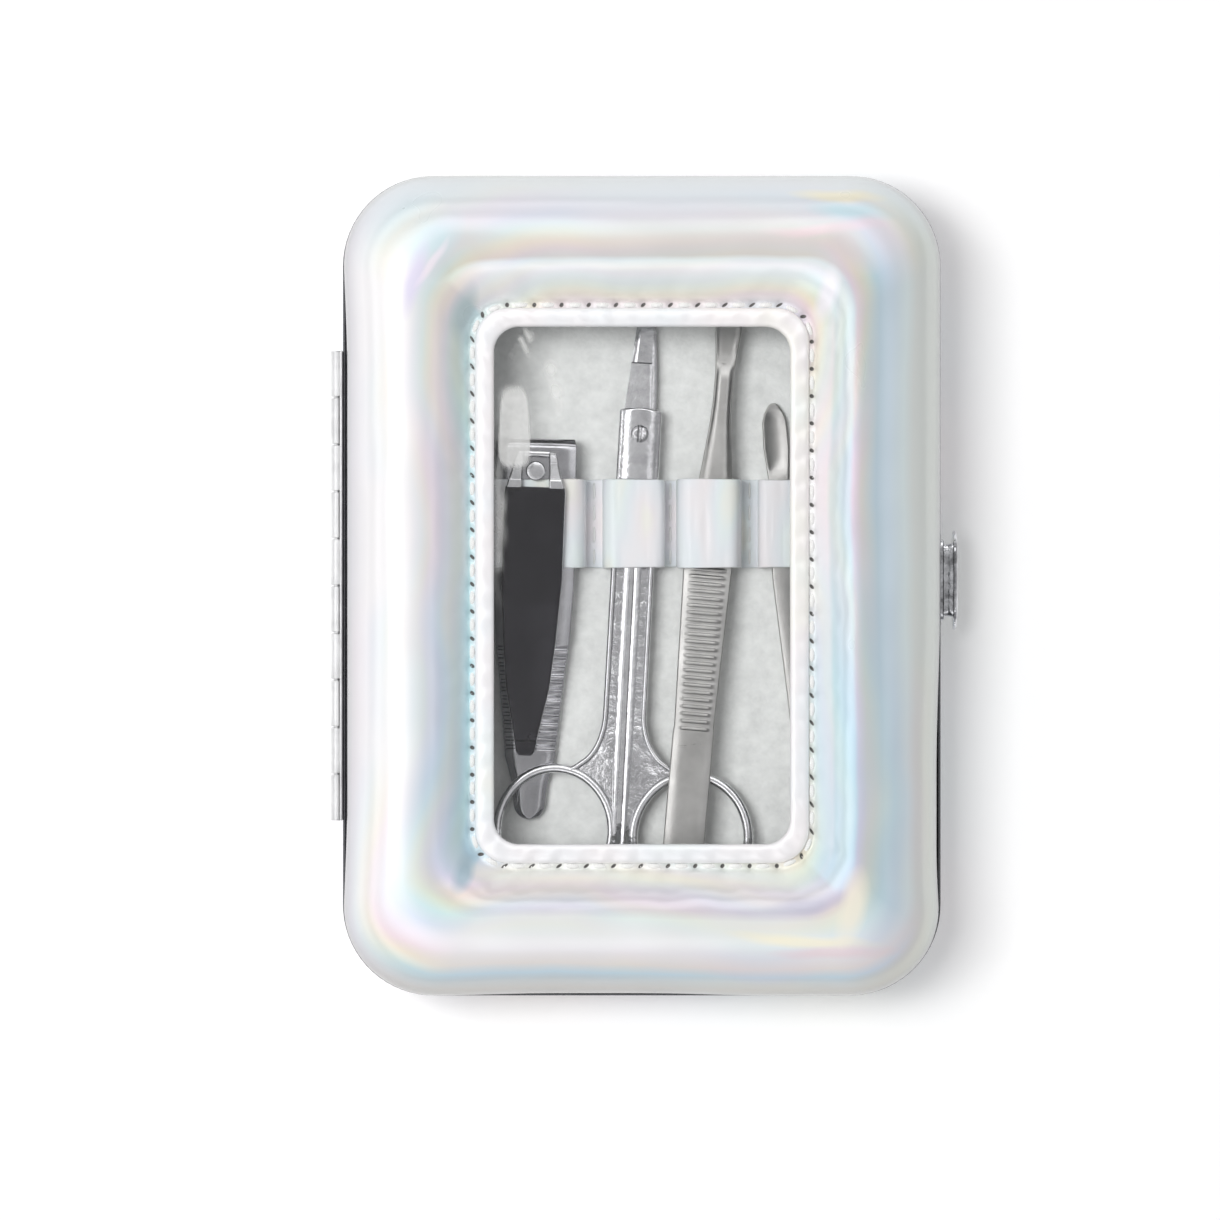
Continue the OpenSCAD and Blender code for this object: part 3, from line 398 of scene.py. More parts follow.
class Tree:
    """Short calls that add, set and link the nodes of a material, a world or a group."""

    def __init__(self, tree: NodeTree) -> None:
        """Keeps the tree to work on."""
        self.tree = tree

    def add(self, kind: str, inputs: dict[str | int, object] | None = None, **settings: object) -> Node:
        """Adds a node.

        Args:
            kind: Blender's name of the node's type, without its ShaderNode prefix.
            inputs: Values or output sockets for its inputs.
            settings: Properties of the node.

        Returns:
            The node.
        """
        node = self.tree.nodes.new(kind if kind.startswith("Node") else "ShaderNode" + kind)
        for name, value in settings.items():
            setattr(node, name, value)
        return self.fill(node, inputs or {})

    def fill(self, node: Node, inputs: dict[str | int, object]) -> Node:
        """Links or sets several inputs of a node, and returns it.

        Args:
            node: Node to fill.
            inputs: Values or output sockets by input.

        Returns:
            The node.
        """
        for name, value in inputs.items():
            self.feed(node.inputs[name], value)
        return node

    def group(self, tree: NodeTree, inputs: dict[str, object]) -> Node:
        """Places a shared node group."""
        return self.add("Group", inputs, node_tree=tree)

    def feed(self, socket: Socket, value: object) -> None:
        """Links an output to a socket, or sets the socket's own value.

        Args:
            socket: Input to feed.
            value: Output socket, colour, vector or number.
        """
        if isinstance(value, Socket):
            self.tree.links.new(value, socket)
        elif isinstance(value, tuple) and socket.type == "RGBA":
            socket.default_value = (*value, 1.0)[:4]
        else:
            socket.default_value = value

    def math(self, operation: str, a: object, b: object = 0.0, clamp: bool = False) -> Socket:
        """Result of a Math node with the two values."""
        return self.add("Math", {0: a, 1: b}, operation=operation, use_clamp=clamp).outputs[0]

    def times(self, a: object, b: object, clamp: bool = False) -> Socket:
        """Product of two values."""
        return self.math("MULTIPLY", a, b, clamp)

    def plus(self, a: object, b: object, clamp: bool = False) -> Socket:
        """Sum of two values."""
        return self.math("ADD", a, b, clamp)

    def vector(self, operation: str, a: object, b: object = None, scale: float = 1.0) -> Socket:
        """Vector made by a Vector Math node."""
        inputs = {0: a, 3: scale} if b is None else {0: a, 1: b}
        return self.add("VectorMath", inputs, operation=operation).outputs[0]

    def value(self, name: str, output: str = "Fac") -> Socket:
        """Value that the mesh holds per point."""
        return self.add("Attribute", attribute_name=name).outputs[output]

    def seen_by(self, *rays: str) -> Socket:
        """1 for any of the kinds of ray, such as Glossy, and 0 for the others.

        Args:
            rays: Kinds of ray.

        Returns:
            The mask.
        """
        path = self.add("LightPath")
        *others, seen = (path.outputs[f"Is {ray} Ray"] for ray in rays)
        for other in reversed(others):
            seen = self.math("MAXIMUM", other, seen)
        return seen

    def noise(self, vector: object, scale: float, detail: float = 3, rough: float = 0.5) -> Socket:
        """Value of a Noise Texture node."""
        inputs = {"Vector": vector, "Scale": scale, "Detail": detail, "Roughness": rough}
        return self.add("TexNoise", inputs).outputs[0]

    def span(self, value: object, low: float, high: float, to_low: float = 0, to_high: float = 1) -> Socket:
        """Value mapped from one range to another and kept inside it."""
        return self.add("MapRange", {0: value, 1: low, 2: high, 3: to_low, 4: to_high}).outputs[0]

    def mix(self, share: object, a: object, b: object, blend: str = "MIX") -> Socket:
        """Colour a mixed with colour b by a share.

        Args:
            share: Share of b.
            a: First colour.
            b: Second colour.
            blend: Way of mixing.

        Returns:
            The colour.
        """
        node = self.add("Mix", data_type="RGBA", blend_type=blend)
        for socket, value in zip((node.inputs[0], node.inputs[6], node.inputs[7]), (share, a, b)):
            self.feed(socket, value)
        return node.outputs[2]

    def ramp(self, value: object, stops: list[tuple[float, Colour]]) -> Socket:
        """Colour of a ramp of stops, each a place from 0 to 1 and a linear colour.

        Args:
            value: Place on the ramp.
            stops: Places and colours.

        Returns:
            The colour.
        """
        node = self.add("ValToRGB", {0: value})
        node.color_ramp.interpolation = "LINEAR" if len(stops) > 4 else "EASE"
        elements = node.color_ramp.elements
        while len(elements) < len(stops):
            elements.new(0.5)
        for element, (place, _) in zip(elements, stops):
            element.position = place
        for element, (_, colour) in zip(elements, stops):
            element.color = (*colour, 1.0)
        return node.outputs[0]

    def bump(self, height: object, strength: float, distance: float, normal: object = None) -> Socket:
        """Normal of a Bump node over a height; its distance is in metres.

        Args:
            height: Height from 0 to 1.
            strength: Share of the effect.
            distance: Depth of a height of 1.
            normal: Normal that it adds to, or None.

        Returns:
            The normal.
        """
        inputs = {"Height": height, "Strength": strength, "Distance": distance}
        if normal is not None:
            inputs["Normal"] = normal
        return self.add("Bump", inputs).outputs[0]


class Groups:
    """Node groups that several finishes share, each built once."""

    @staticmethod
    def make(name: str, inputs: dict[str, float | str], outputs: dict[str, str]) -> tuple[Tree, object, object]:
        """Starts a group with its sockets.

        Args:
            name: Name of the group.
            inputs: Each input's default value, or "Vector" for a vector.
            outputs: Each output's kind, Float or Color.

        Returns:
            The group's tree with its input and output nodes.
        """
        tree = bpy.data.node_groups.new(name, "ShaderNodeTree")
        for label, default in inputs.items():
            kind = "NodeSocketVector" if default == "Vector" else "NodeSocketFloat"
            socket = tree.interface.new_socket(label, in_out="INPUT", socket_type=kind)
            if default != "Vector":
                socket.default_value = default
        for label, kind in outputs.items():
            tree.interface.new_socket(label, in_out="OUTPUT", socket_type="NodeSocket" + kind)
        work = Tree(tree)
        return work, work.add("NodeGroupInput"), work.add("NodeGroupOutput")

    @staticmethod
    def leather_grain() -> NodeTree:
        """Height of fine pebbled grain with soft creases between the pebbles.

        Returns:
            The group.
        """
        found = bpy.data.node_groups.get("leather_grain")
        if found:
            return found
        work, given, out = Groups.make("leather_grain", {"Vector": "Vector", "Scale": 900.0}, {"Height": "Float"})
        place = given.outputs["Vector"]
        shifted = work.vector("ADD", place, work.vector("SCALE", work.noise(place, 300, 2), None, 0.0006))
        cells = work.add("TexVoronoi", {
            "Vector": shifted, "Scale": given.outputs["Scale"]
        }, feature="DISTANCE_TO_EDGE")
        pebble = work.span(cells.outputs[0], 0.0, 0.25)
        fine = work.noise(place, 2600, 3, 0.6)
        work.feed(out.inputs[0], work.plus(pebble, work.times(fine, 0.35)))
        return work.tree

    @staticmethod
    def rainbow() -> NodeTree:
        """Pastel colours of a pearl foil, which run through lilac, blue, green, yellow and pink.

        Returns:
            The group.
        """
        found = bpy.data.node_groups.get("rainbow")
        if found:
            return found
        work, given, out = Groups.make("rainbow", {"Phase": 0.0, "Strength": 0.5}, {"Color": "Color"})
        turn = work.math("FRACT", given.outputs["Phase"])
        stops = [
            (0.0, srgb(228, 214, 236)), (0.18, srgb(188, 212, 242)), (0.36, srgb(192, 238, 240)),
            (0.52, srgb(234, 244, 208)), (0.68, srgb(250, 230, 188)), (0.84, srgb(246, 208, 222)),
            (1.0, srgb(228, 214, 236)),
        ]
        hue = work.ramp(turn, stops)
        work.feed(out.inputs[0], work.mix(given.outputs["Strength"], srgb(246, 246, 245), hue))
        return work.tree

    @staticmethod
    def handling() -> NodeTree:
        """Roughness with soft smudges, and the height of hair-fine scratches.

        Returns:
            The group.
        """
        found = bpy.data.node_groups.get("handling")
        if found:
            return found
        inputs = {"Vector": "Vector", "Roughness": 0.15, "Smudge": 0.08}
        work, given, out = Groups.make("handling", inputs, {"Roughness": "Float", "Height": "Float"})
        place = given.outputs["Vector"]
        cloud = work.span(work.noise(place, 160, 4, 0.6), 0.4, 0.7)
        grit = work.times(work.noise(place, 1500, 3, 0.7), 0.6)
        smudge = work.times(given.outputs["Smudge"], work.plus(cloud, grit))
        work.feed(out.inputs[0], work.plus(given.outputs["Roughness"], smudge, clamp=True))
        stretch = work.add("Mapping", {"Vector": place, "Rotation": (0.0, 0.0, 0.6), "Scale": (6000.0, 260.0, 1500.0)})
        line = work.noise(stretch.outputs[0], 1.0, 2, 0.5)
        work.feed(out.inputs[1], work.span(line, 0.66, 0.72))
        return work.tree


@dataclass(frozen=True)
class Finish:
    """What the finishes have in common: a name, a colour and a gloss."""

    name: str
    colour: Colour
    roughness: float = 0.4

    def start(self) -> tuple[Material, Tree, Node, Socket]:
        """Starts the material.

        Returns:
            The material, its tree, its shader and its object coordinates.
        """
        material = bpy.data.materials.new(self.name)
        material.use_nodes = True
        work = Tree(material.node_tree)
        shader = material.node_tree.nodes["Principled BSDF"]
        work.fill(shader, {"Base Color": self.colour, "Roughness": self.roughness})
        return material, work, shader, work.add("TexCoord").outputs["Object"]

    def toned(self, work: Tree, mask: Socket, share: float) -> Socket:
        """The finish's colour where the mask is 1, and a share of it where the mask is 0."""
        return work.mix(mask, tuple(share * v for v in self.colour), self.colour)


@dataclass(frozen=True)
class PearlFoil(Finish):
    """Pearl foil leatherette with rainbow bands that follow the surface's own places."""

    metal: float = 0.2
    swirl: float = 45.0
    spread: float = 2.2
    streaked: float = 1.0
    strength: float = 0.55

    def build(self) -> Material:
        """Makes the foil without window bands: a slow rainbow that drifts over the surface.

        Returns:
            The material.
        """
        material, work, shader, place = self.start()
        stretch = work.add("Mapping", {"Vector": place, "Scale": (self.streaked, 1.0, self.streaked)})
        drift = work.noise(stretch.outputs[0], self.swirl, 2, 0.4)
        phase = work.times(drift, self.spread)
        rainbow = work.group(Groups.rainbow(), {"Phase": phase, "Strength": self.strength})
        self.finish(work, shader, place, rainbow.outputs[0])
        return material

    def finish(self, work: Tree, shader: Node, place: Socket, colour: Socket) -> None:
        """Adds the grain and the gloss that every foil skin has.

        Args:
            work: Tree of the material.
            shader: Its shader.
            place: Object coordinates.
            colour: Colour of the foil.
        """
        cloud = work.noise(place, 90, 2, 0.5)
        fine = work.bump(work.noise(place, 800, 2, 0.5), 0.02, 0.0001)
        work.fill(shader, {
            "Base Color": colour,
            "Roughness": work.span(cloud, 0.0, 1.0, self.roughness - 0.08, self.roughness + 0.1),
            "Metallic": self.metal,
            "Coat Weight": 0.5,
            "Coat Roughness": 0.12,
            "Normal": work.bump(work.noise(place, 240, 3, 0.5), 0.06, 0.0003, fine),
        })


class Bands(Enum):
    """Colours across the lid's padding, from its outline at 0 to the window at 1, side by side, with painted light and
    shade.
    """

    # Besides the foil's pastel hues these ramps paint light: the hinge side is lighter than the button side, the white
    # stretches on the button and tip sides are painted highlights, and the grey at 0 is painted shade where the skin
    # turns into the frame.
    HINGE_SIDE = (
        (0.0, (168, 168, 171)), (0.05, (214, 212, 216)), (0.14, (247, 245, 246)), (0.42, (246, 245, 245)),
        (0.52, (232, 233, 234)), (0.60, (226, 224, 230)), (0.68, (236, 238, 244)), (0.76, (222, 240, 238)),
        (0.82, (206, 240, 242)), (0.87, (228, 231, 233)), (1.0, (236, 238, 238)),
    )
    BUTTON_SIDE = (
        (0.0, (168, 169, 171)), (0.06, (222, 226, 221)), (0.19, (219, 223, 220)), (0.25, (216, 227, 228)),
        (0.34, (196, 210, 220)), (0.42, (180, 198, 208)), (0.52, (200, 204, 202)), (0.575, (214, 206, 216)),
        (0.60, (206, 222, 228)), (0.72, (230, 246, 246)), (0.745, (255, 255, 255)), (0.84, (255, 255, 253)),
        (0.88, (228, 228, 225)), (1.0, (220, 224, 226)),
    )
    TIP_SIDE = (
        (0.0, (178, 178, 174)), (0.05, (226, 230, 232)), (0.18, (228, 234, 238)), (0.32, (224, 221, 227)),
        (0.40, (215, 218, 217)), (0.48, (220, 214, 208)), (0.57, (212, 206, 200)), (0.60, (232, 242, 244)),
        (0.64, (253, 254, 253)), (0.80, (255, 254, 250)), (0.87, (232, 232, 228)), (1.0, (226, 228, 227)),
    )
    RING_SIDE = (
        (0.0, (168, 168, 166)), (0.06, (204, 202, 198)), (0.11, (206, 212, 214)), (0.16, (208, 228, 240)),
        (0.22, (236, 231, 228)), (0.31, (240, 238, 241)), (0.52, (232, 238, 234)), (0.58, (206, 202, 210)),
        (0.66, (214, 209, 216)), (0.71, (226, 222, 224)), (0.77, (246, 242, 229)), (0.85, (246, 246, 242)),
        (0.89, (226, 227, 226)), (1.0, (226, 228, 226)),
    )

    def stops(self) -> list[tuple[float, Colour]]:
        """Stops of the band's ramp in linear colours."""
        return [(place, srgb(*shown)) for place, shown in self.value]


class Gleam(Enum):
    """Painted glints of colour and painted shade on the lid, where the foil bends two ways.

    Each holds its middle and half lengths in millimetres, its turn in degrees, its colour and
    its strength.
    """

    TIP_HINGE_CYAN = (-30.0, 47.6, 6.5, 3.6, 40, (196, 232, 238), 0.5)
    TIP_HINGE_LILAC = (-31.4, 42.0, 6.0, 1.5, 80, (222, 216, 238), 0.8)
    TIP_HINGE_GLINT = (-29.2, 44.6, 4.6, 0.7, 62, (255, 240, 250), 0.5)
    TIP_HINGE_FOLD_SHADE = (-24.5, 37.2, 5.2, 2.0, 86, (188, 206, 210), 0.85)
    TIP_BUTTON_YELLOW = (26.6, 53.6, 7.5, 1.1, -6, (252, 240, 196), 0.55)
    TIP_BUTTON_CYAN = (28.4, 51.4, 7.0, 1.5, -8, (190, 228, 236), 0.6)
    TIP_BUTTON_PINK = (25.0, 48.8, 9.5, 1.2, 3, (250, 216, 226), 0.45)
    TIP_BUTTON_MAUVE = (28.6, 46.4, 5.0, 2.6, -50, (212, 202, 206), 0.7)
    TIP_BUTTON_FOLD_HIGHLIGHT = (25.6, 39.6, 4.4, 1.7, 74, (250, 246, 252), 0.85)
    RING_BUTTON_YELLOW = (22.0, -48.2, 11.5, 1.2, -3, (254, 242, 204), 0.55)
    RING_BUTTON_PINK = (26.0, -49.9, 10.0, 1.2, 2, (242, 208, 212), 0.45)
    RING_BUTTON_FOLD_SHADE = (22.0, -43.2, 6.5, 1.3, 7, (190, 188, 204), 0.8)
    RING_BUTTON_WARM = (28.6, -44.0, 6.0, 2.2, 78, (252, 244, 226), 0.7)
    RING_HINGE_FOLD_SHADE = (-24.7, -39.6, 3.8, 1.9, 68, (172, 196, 208), 0.85)

    def over(self, work: Tree, place: Socket, colour: Socket) -> Socket:
        """Lays the patch over a colour: full in its middle and gone at its half lengths.

        Args:
            work: Tree of the material.
            place: Object coordinates.
            colour: Colour below.

        Returns:
            The colour.
        """
        x, y, long_half, short_half, turn, shown, strength = self.value
        patch = work.add("Mapping", {
            "Vector": place,
            "Location": (x * MM, y * MM, 0.0),
            "Rotation": (0.0, 0.0, float(np.radians(turn))),
            "Scale": (long_half * MM, short_half * MM, 1.0),
        }, vector_type="TEXTURE")
        far = work.add("VectorMath", {0: patch.outputs[0]}, operation="LENGTH").outputs["Value"]
        return work.mix(work.span(far, 1.0, 0.35, 0.0, strength), colour, srgb(*shown))


@dataclass(frozen=True)
class BandedFoil(PearlFoil):
    """Foil over the lid's padding, whose bands follow the padding from outline to window."""

    def build(self) -> Material:
        """Makes the banded foil from the skin's own values: reach, outward and hole.

        Returns:
            The material.
        """
        material, work, shader, place = self.start()
        reach = work.value("reach")
        slow = work.math("SUBTRACT", work.noise(place, 22, 2, 0.4), 0.5)
        quick = work.math("SUBTRACT", work.noise(place, 130, 2, 0.5), 0.5)
        wander = work.plus(work.times(slow, 0.16), work.times(quick, 0.03))
        edge = work.span(reach, 0.0, 0.2)
        line = work.plus(reach, work.times(wander, edge))
        axes = work.add("SeparateXYZ", {0: work.value("outward", "Vector")})
        out_x, out_y = axes.outputs[0], axes.outputs[1]
        wide_x, wide_y = work.math("ABSOLUTE", out_x), work.math("ABSOLUTE", out_y)
        # The side ramps carry painted highlights and painted shade as well as hues.
        sides = {band: work.ramp(line, band.stops()) for band in Bands}
        colour = work.mix(work.span(out_x, -0.4, 0.4), sides[Bands.HINGE_SIDE], sides[Bands.BUTTON_SIDE])
        fold = work.span(reach, 0.45, 0.62)
        first, last = work.span(fold, 0, 1, 0.35, 0.66), work.span(fold, 0, 1, 0.9, 0.75)
        for way, band in ((out_y, Bands.TIP_SIDE), (work.times(out_y, -1.0), Bands.RING_SIDE)):
            colour = work.mix(work.span(way, first, last), colour, sides[band])
        phase = work.plus(work.times(line, 2.6), work.times(slow, 3.0))
        rainbow = work.group(Groups.rainbow(), {"Phase": phase, "Strength": 1.0})
        corner = work.times(wide_x, wide_y)
        patch = work.span(work.noise(place, 40, 2, 0.4), 0.45, 0.65)
        share = work.plus(work.times(patch, 0.2), work.times(corner, 0.5), clamp=True)
        colour = work.mix(work.times(share, edge), colour, rainbow.outputs[0])
        thin = work.plus(work.times(line, 4.5), work.times(slow, 5.0))
        fine = work.group(Groups.rainbow(), {"Phase": thin, "Strength": 1.0})
        slope = work.times(work.span(reach, 0.4, 0.56), work.span(reach, 0.9, 0.8))
        colour = work.mix(work.times(slope, 0.13), colour, fine.outputs[0])
        along = work.span(work.add("SeparateXYZ", {0: place}).outputs[1], -0.03, 0.03)
        tint = work.ramp(along, [
            (0.0, srgb(206, 230, 244)), (0.3, srgb(212, 234, 246)), (
                0.55, srgb(240, 236, 240)
            ), (0.8, srgb(248, 232, 238)), (1.0, srgb(240, 236, 226)),
        ])
        flank = work.times(slope, work.span(wide_x, 0.5, 0.9))
        colour = work.mix(work.times(flank, 0.5), colour, tint, "MULTIPLY")
        sway = work.add("TexNoise", {"Vector": place, "Scale": 70.0, "Detail": 2.0}).outputs["Color"]
        sway = work.vector("SCALE", sway, None, 0.004)
        swayed = work.vector("SUBTRACT", work.vector("ADD", place, sway), (0.002, 0.002, 0.002))
        # Painted glints and painted fold shade go over the bands.
        for gleam in Gleam:
            colour = gleam.over(work, swayed, colour)
        # Painted shade darkens the stitch holes.
        colour = work.mix(self.hole_shade(work), colour, srgb(84, 82, 80))
        self.finish(work, shader, place, colour)
        return material

    def hole_shade(self, work: Tree) -> Socket:
        """Mask of painted shade in the stitch holes: slanted ovals, from the skin's value seam.

        Seam holds the cosine and sine of the turn from one hole to the next, and the distance
        from the seam line in millimetres.

        Args:
            work: Tree of the material.

        Returns:
            The mask.
        """
        seam = work.add("SeparateXYZ", {0: work.value("seam", "Vector")})
        along = work.times(seam.outputs[1], 0.594)
        across = seam.outputs[2]
        long_way = work.math("DIVIDE", work.plus(along, across), 0.56)
        short_way = work.math("DIVIDE", work.math("SUBTRACT", along, across), 0.32)
        far = work.plus(work.math("POWER", long_way, 2.0), work.math("POWER", short_way, 2.0))
        inside = work.span(far, 1.25, 0.6)
        return work.times(inside, work.span(seam.outputs[0], 0.1, 0.4))


@dataclass(frozen=True)
class Leatherette(Finish):
    """Soft leatherette with pebbled grain and fine wrinkles."""

    grain: float = 1100.0
    wrinkle: float = 0.35

    def build(self) -> Material:
        """Makes the material: mottled colour, grain and crossing wrinkles.

        Returns:
            The material.
        """
        material, work, shader, place = self.start()
        mottle = work.span(work.noise(place, 500, 4, 0.65), 0.3, 0.7)
        grain = work.group(Groups.leather_grain(), {"Vector": place, "Scale": self.grain})
        fine = work.bump(grain.outputs[0], 0.3, 0.00008)
        work.fill(shader, {
            "Base Color": self.toned(work, mottle, 0.84),
            "Roughness": work.span(mottle, 0, 1, self.roughness + 0.1, self.roughness),
            "Normal": work.bump(work.noise(place, 420, 5, 0.7), self.wrinkle, 0.0005, fine),
        })
        return material


@dataclass(frozen=True)
class Metal(Finish):
    """Plated or polished metal with smudges, hair scratches and slight unevenness."""

    uneven: float = 0.1
    uneven_scale: float = 300.0
    smudge: float = 0.08
    brushed: float = 0.0
    # rim is the share of a painted highlight on turned edges.
    rim: float = 0.0
    tone_and_reflection_share: float = 0.86

    def build(self) -> Material:
        """Makes the material; brushed metal has streaks along X, and a rim setting paints a highlight on turned edges.

        Returns:
            The material.
        """
        material, work, shader, place = self.start()
        marks = work.group(Groups.handling(), {"Vector": place, "Roughness": self.roughness, "Smudge": self.smudge})
        # Darker mottle at random; where its share is low, as on the button, the dark mottle is a painted reflection.
        tone = work.span(work.noise(place, max(220.0, self.uneven_scale), 3, 0.6), 0.36, 0.6)
        colour = self.toned(work, tone, self.tone_and_reflection_share)
        if self.rim:
            # Painted highlight: turned edges lighten towards pale grey.
            facing = work.span(work.add("LayerWeight").outputs["Facing"], 0.12, 0.5, 0.0, self.rim)
            colour = work.mix(facing, colour, srgb(236, 236, 238))
        scratch = work.bump(marks.outputs["Height"], 0.05, 0.00001)
        normal = work.bump(work.noise(place, self.uneven_scale, 3, 0.55), self.uneven, 0.0004, scratch)
        rough = marks.outputs["Roughness"]
        if self.brushed:
            stretch = work.add("Mapping", {"Vector": place, "Scale": (180.0, 5200.0, 5200.0)})
            streak = work.noise(stretch.outputs[0], 1.0, 4, 0.6)
            normal = work.bump(streak, self.brushed, 0.00004, normal)
            rough = work.plus(rough, work.times(streak, 0.16))
            shader.inputs["Anisotropic"].default_value = 0.4
        work.fill(shader, {"Base Color": colour, "Metallic": 1.0, "Roughness": rough, "Normal": normal})
        return material


@dataclass(frozen=True)
class Thread(Finish):
    """Twisted thread: slanted strands around the piece, painted shade between them and fine fuzz."""

    def build(self) -> Material:
        """Makes the material from the thread's own values: along and around.

        Returns:
            The material.
        """
        material, work, shader, place = self.start()
        twist = work.plus(work.times(work.value("along"), 9.0), work.times(work.value("around"), 2.0))
        strand = work.math("ABSOLUTE", work.math("SINE", work.times(twist, float(np.pi))))
        fuzz = work.times(work.noise(place, 6000, 3, 0.6), 0.3)
        work.fill(shader, {
            # Painted shade: the colour darkens in the grooves between the strands.
            "Base Color": self.toned(work, work.span(strand, 0.0, 0.6), 0.78),
            "Normal": work.bump(work.plus(strand, fuzz), 0.6, 0.00006),
            "Sheen Weight": 0.3,
        })
        return material


@dataclass(frozen=True)
class Moulded(Finish):
    """Moulded tray plastic, or with larger cells the open foam of the padding."""

    cells: float = 900.0
    depth: float = 0.3

    def build(self) -> Material:
        """Makes the material: a fine spark texture or foam cells, with painted shade in their pits.

        Returns:
            The material.
        """
        material, work, shader, place = self.start()
        cell = work.add("TexVoronoi", {"Vector": place, "Scale": self.cells}).outputs["Distance"]
        cloud = work.noise(place, 200, 4, 0.6)
        work.fill(shader, {
            # Painted shade: the colour darkens in the pits that the cell bump makes.
            "Base Color": self.toned(work, work.span(cell, 0.0, 0.7), 0.8),
            "Roughness": work.span(cloud, 0.3, 0.7, self.roughness - 0.06, self.roughness + 0.08),
            "Normal": work.bump(cell, self.depth, 0.0002),
        })
        return material


@dataclass(frozen=True)
class ClearSheet(Finish):
    """Clear flexible sheet that lets the lamps' light through to the tools."""

    def build(self) -> Material:
        """Makes the material: thin clear plastic whose shadow is clear too, with patches of painted glare that stand
        for reflections.

        Returns:
            The material.
        """
        material, work, shader, place = self.start()
        haze = work.noise(place, 130, 2, 0.5)
        work.fill(shader, {
            "Transmission Weight": 1.0,
            "IOR": 1.4,
            "Roughness": work.span(haze, 0.0, 1.0, self.roughness, self.roughness + 0.04),
            "Normal": work.bump(work.noise(place, 160, 2, 0.5), 0.05, 0.0003),
        })
        speckle = work.span(work.noise(place, 500, 2, 0.5), 0.35, 0.6, 0.85, 1.0)
        share = work.times(work.value("glare"), speckle, clamp=True)
        # Painted glare: white diffuse patches that stand for reflections on the sheet.
        painted_glare = work.add("BsdfDiffuse", {0: srgb(240, 240, 238)})
        seen = work.add("MixShader", {0: share, 1: shader.outputs[0], 2: painted_glare.outputs[0]})
        clear = work.add("BsdfTransparent", {0: (0.96, 0.97, 0.97)})
        both = work.add("MixShader", {0: work.seen_by("Shadow", "Diffuse"), 1: seen.outputs[0], 2: clear.outputs[0]})
        work.feed(material.node_tree.nodes["Material Output"].inputs[0], both.outputs[0])
        return material


FINISHES = {
    Slot.FOIL: PearlFoil("pearl_foil", srgb(230, 231, 233), 0.3, strength=0.36),
    Slot.FOAM: Moulded("open_foam", srgb(238, 234, 222), 0.9, 1400.0, 0.8),
    Slot.TRAY: Moulded("tray_moulding", srgb(92, 92, 94), 0.55, 2400.0, 0.15),
    Slot.FRAME: Metal("plated_frame", srgb(112, 113, 116), 0.2, 0.05, 120.0),
    Slot.LINING: Leatherette("lining_leatherette", srgb(232, 234, 236), 0.55),
    Slot.BOARD: Leatherette("board_leatherette", srgb(254, 254, 252), 0.5, 900.0, 0.3),
    Slot.THREAD: Thread("white_thread", srgb(250, 250, 248), 0.6),
    Slot.HINGE: Metal("plated_hinge", srgb(250, 250, 250), 0.42, 0.03, 160.0),
    # The button's deep dark mottle is a painted reflection of dark surroundings.
    Slot.BUTTON: Metal("polished_button", srgb(232, 233, 236), 0.1, 0.45, 420.0, 0.05, tone_and_reflection_share=0.36),
    Slot.SPRING: Metal("rolled_spring_steel", srgb(178, 179, 182), 0.3, 0.05, 300.0, 0.1, 0.2),
    Slot.CLEAR: ClearSheet("clear_sheet", (1.0, 1.0, 1.0), 0.02),
    Slot.TOOL: Metal("plated_tool_steel", srgb(232, 232, 234), 0.12, 0.1, 260.0),
    Slot.SATIN: Metal("satin_tool_steel", srgb(208, 207, 204), 0.2, 0.05, 160.0, 0.08, 0.25),
}


class Special(Enum):
    """Finishes that only some pieces of a slot have."""

    BANDED_FOIL = BandedFoil("banded_pearl_foil", srgb(230, 231, 233), 0.3)
    STRAP_FOIL = PearlFoil("strap_pearl_foil", srgb(244, 243, 238), 0.34, 0.0, 60.0, 2.4, 2.6, 0.18)
    EDGE_FOIL = PearlFoil("edge_pearl_foil", srgb(232, 232, 231), 0.34, 0.2, 70.0, 2.0, 1.0, 0.12)
    # The lever's chrome is painted near-black as a painted reflection of a dark ceiling, and its rim paints a
    # highlight on turned edges.
    DARK_REFLECTION = Metal("lever_chrome_painted_dark_reflection", srgb(62, 61, 65), 0.2, 0.03, 110.0, 0.06, 0.0, 0.8)
    CHROME = Metal("clipper_chrome", srgb(196, 196, 199), 0.1, 0.12, 130.0, 0.05)
    PITTED = Metal("pitted_tool_steel", srgb(214, 214, 216), 0.16, 0.5, 700.0, 0.08)
    CAST = Metal("cast_tool_steel", srgb(240, 240, 242), 0.12, 0.22, 420.0, 0.06)


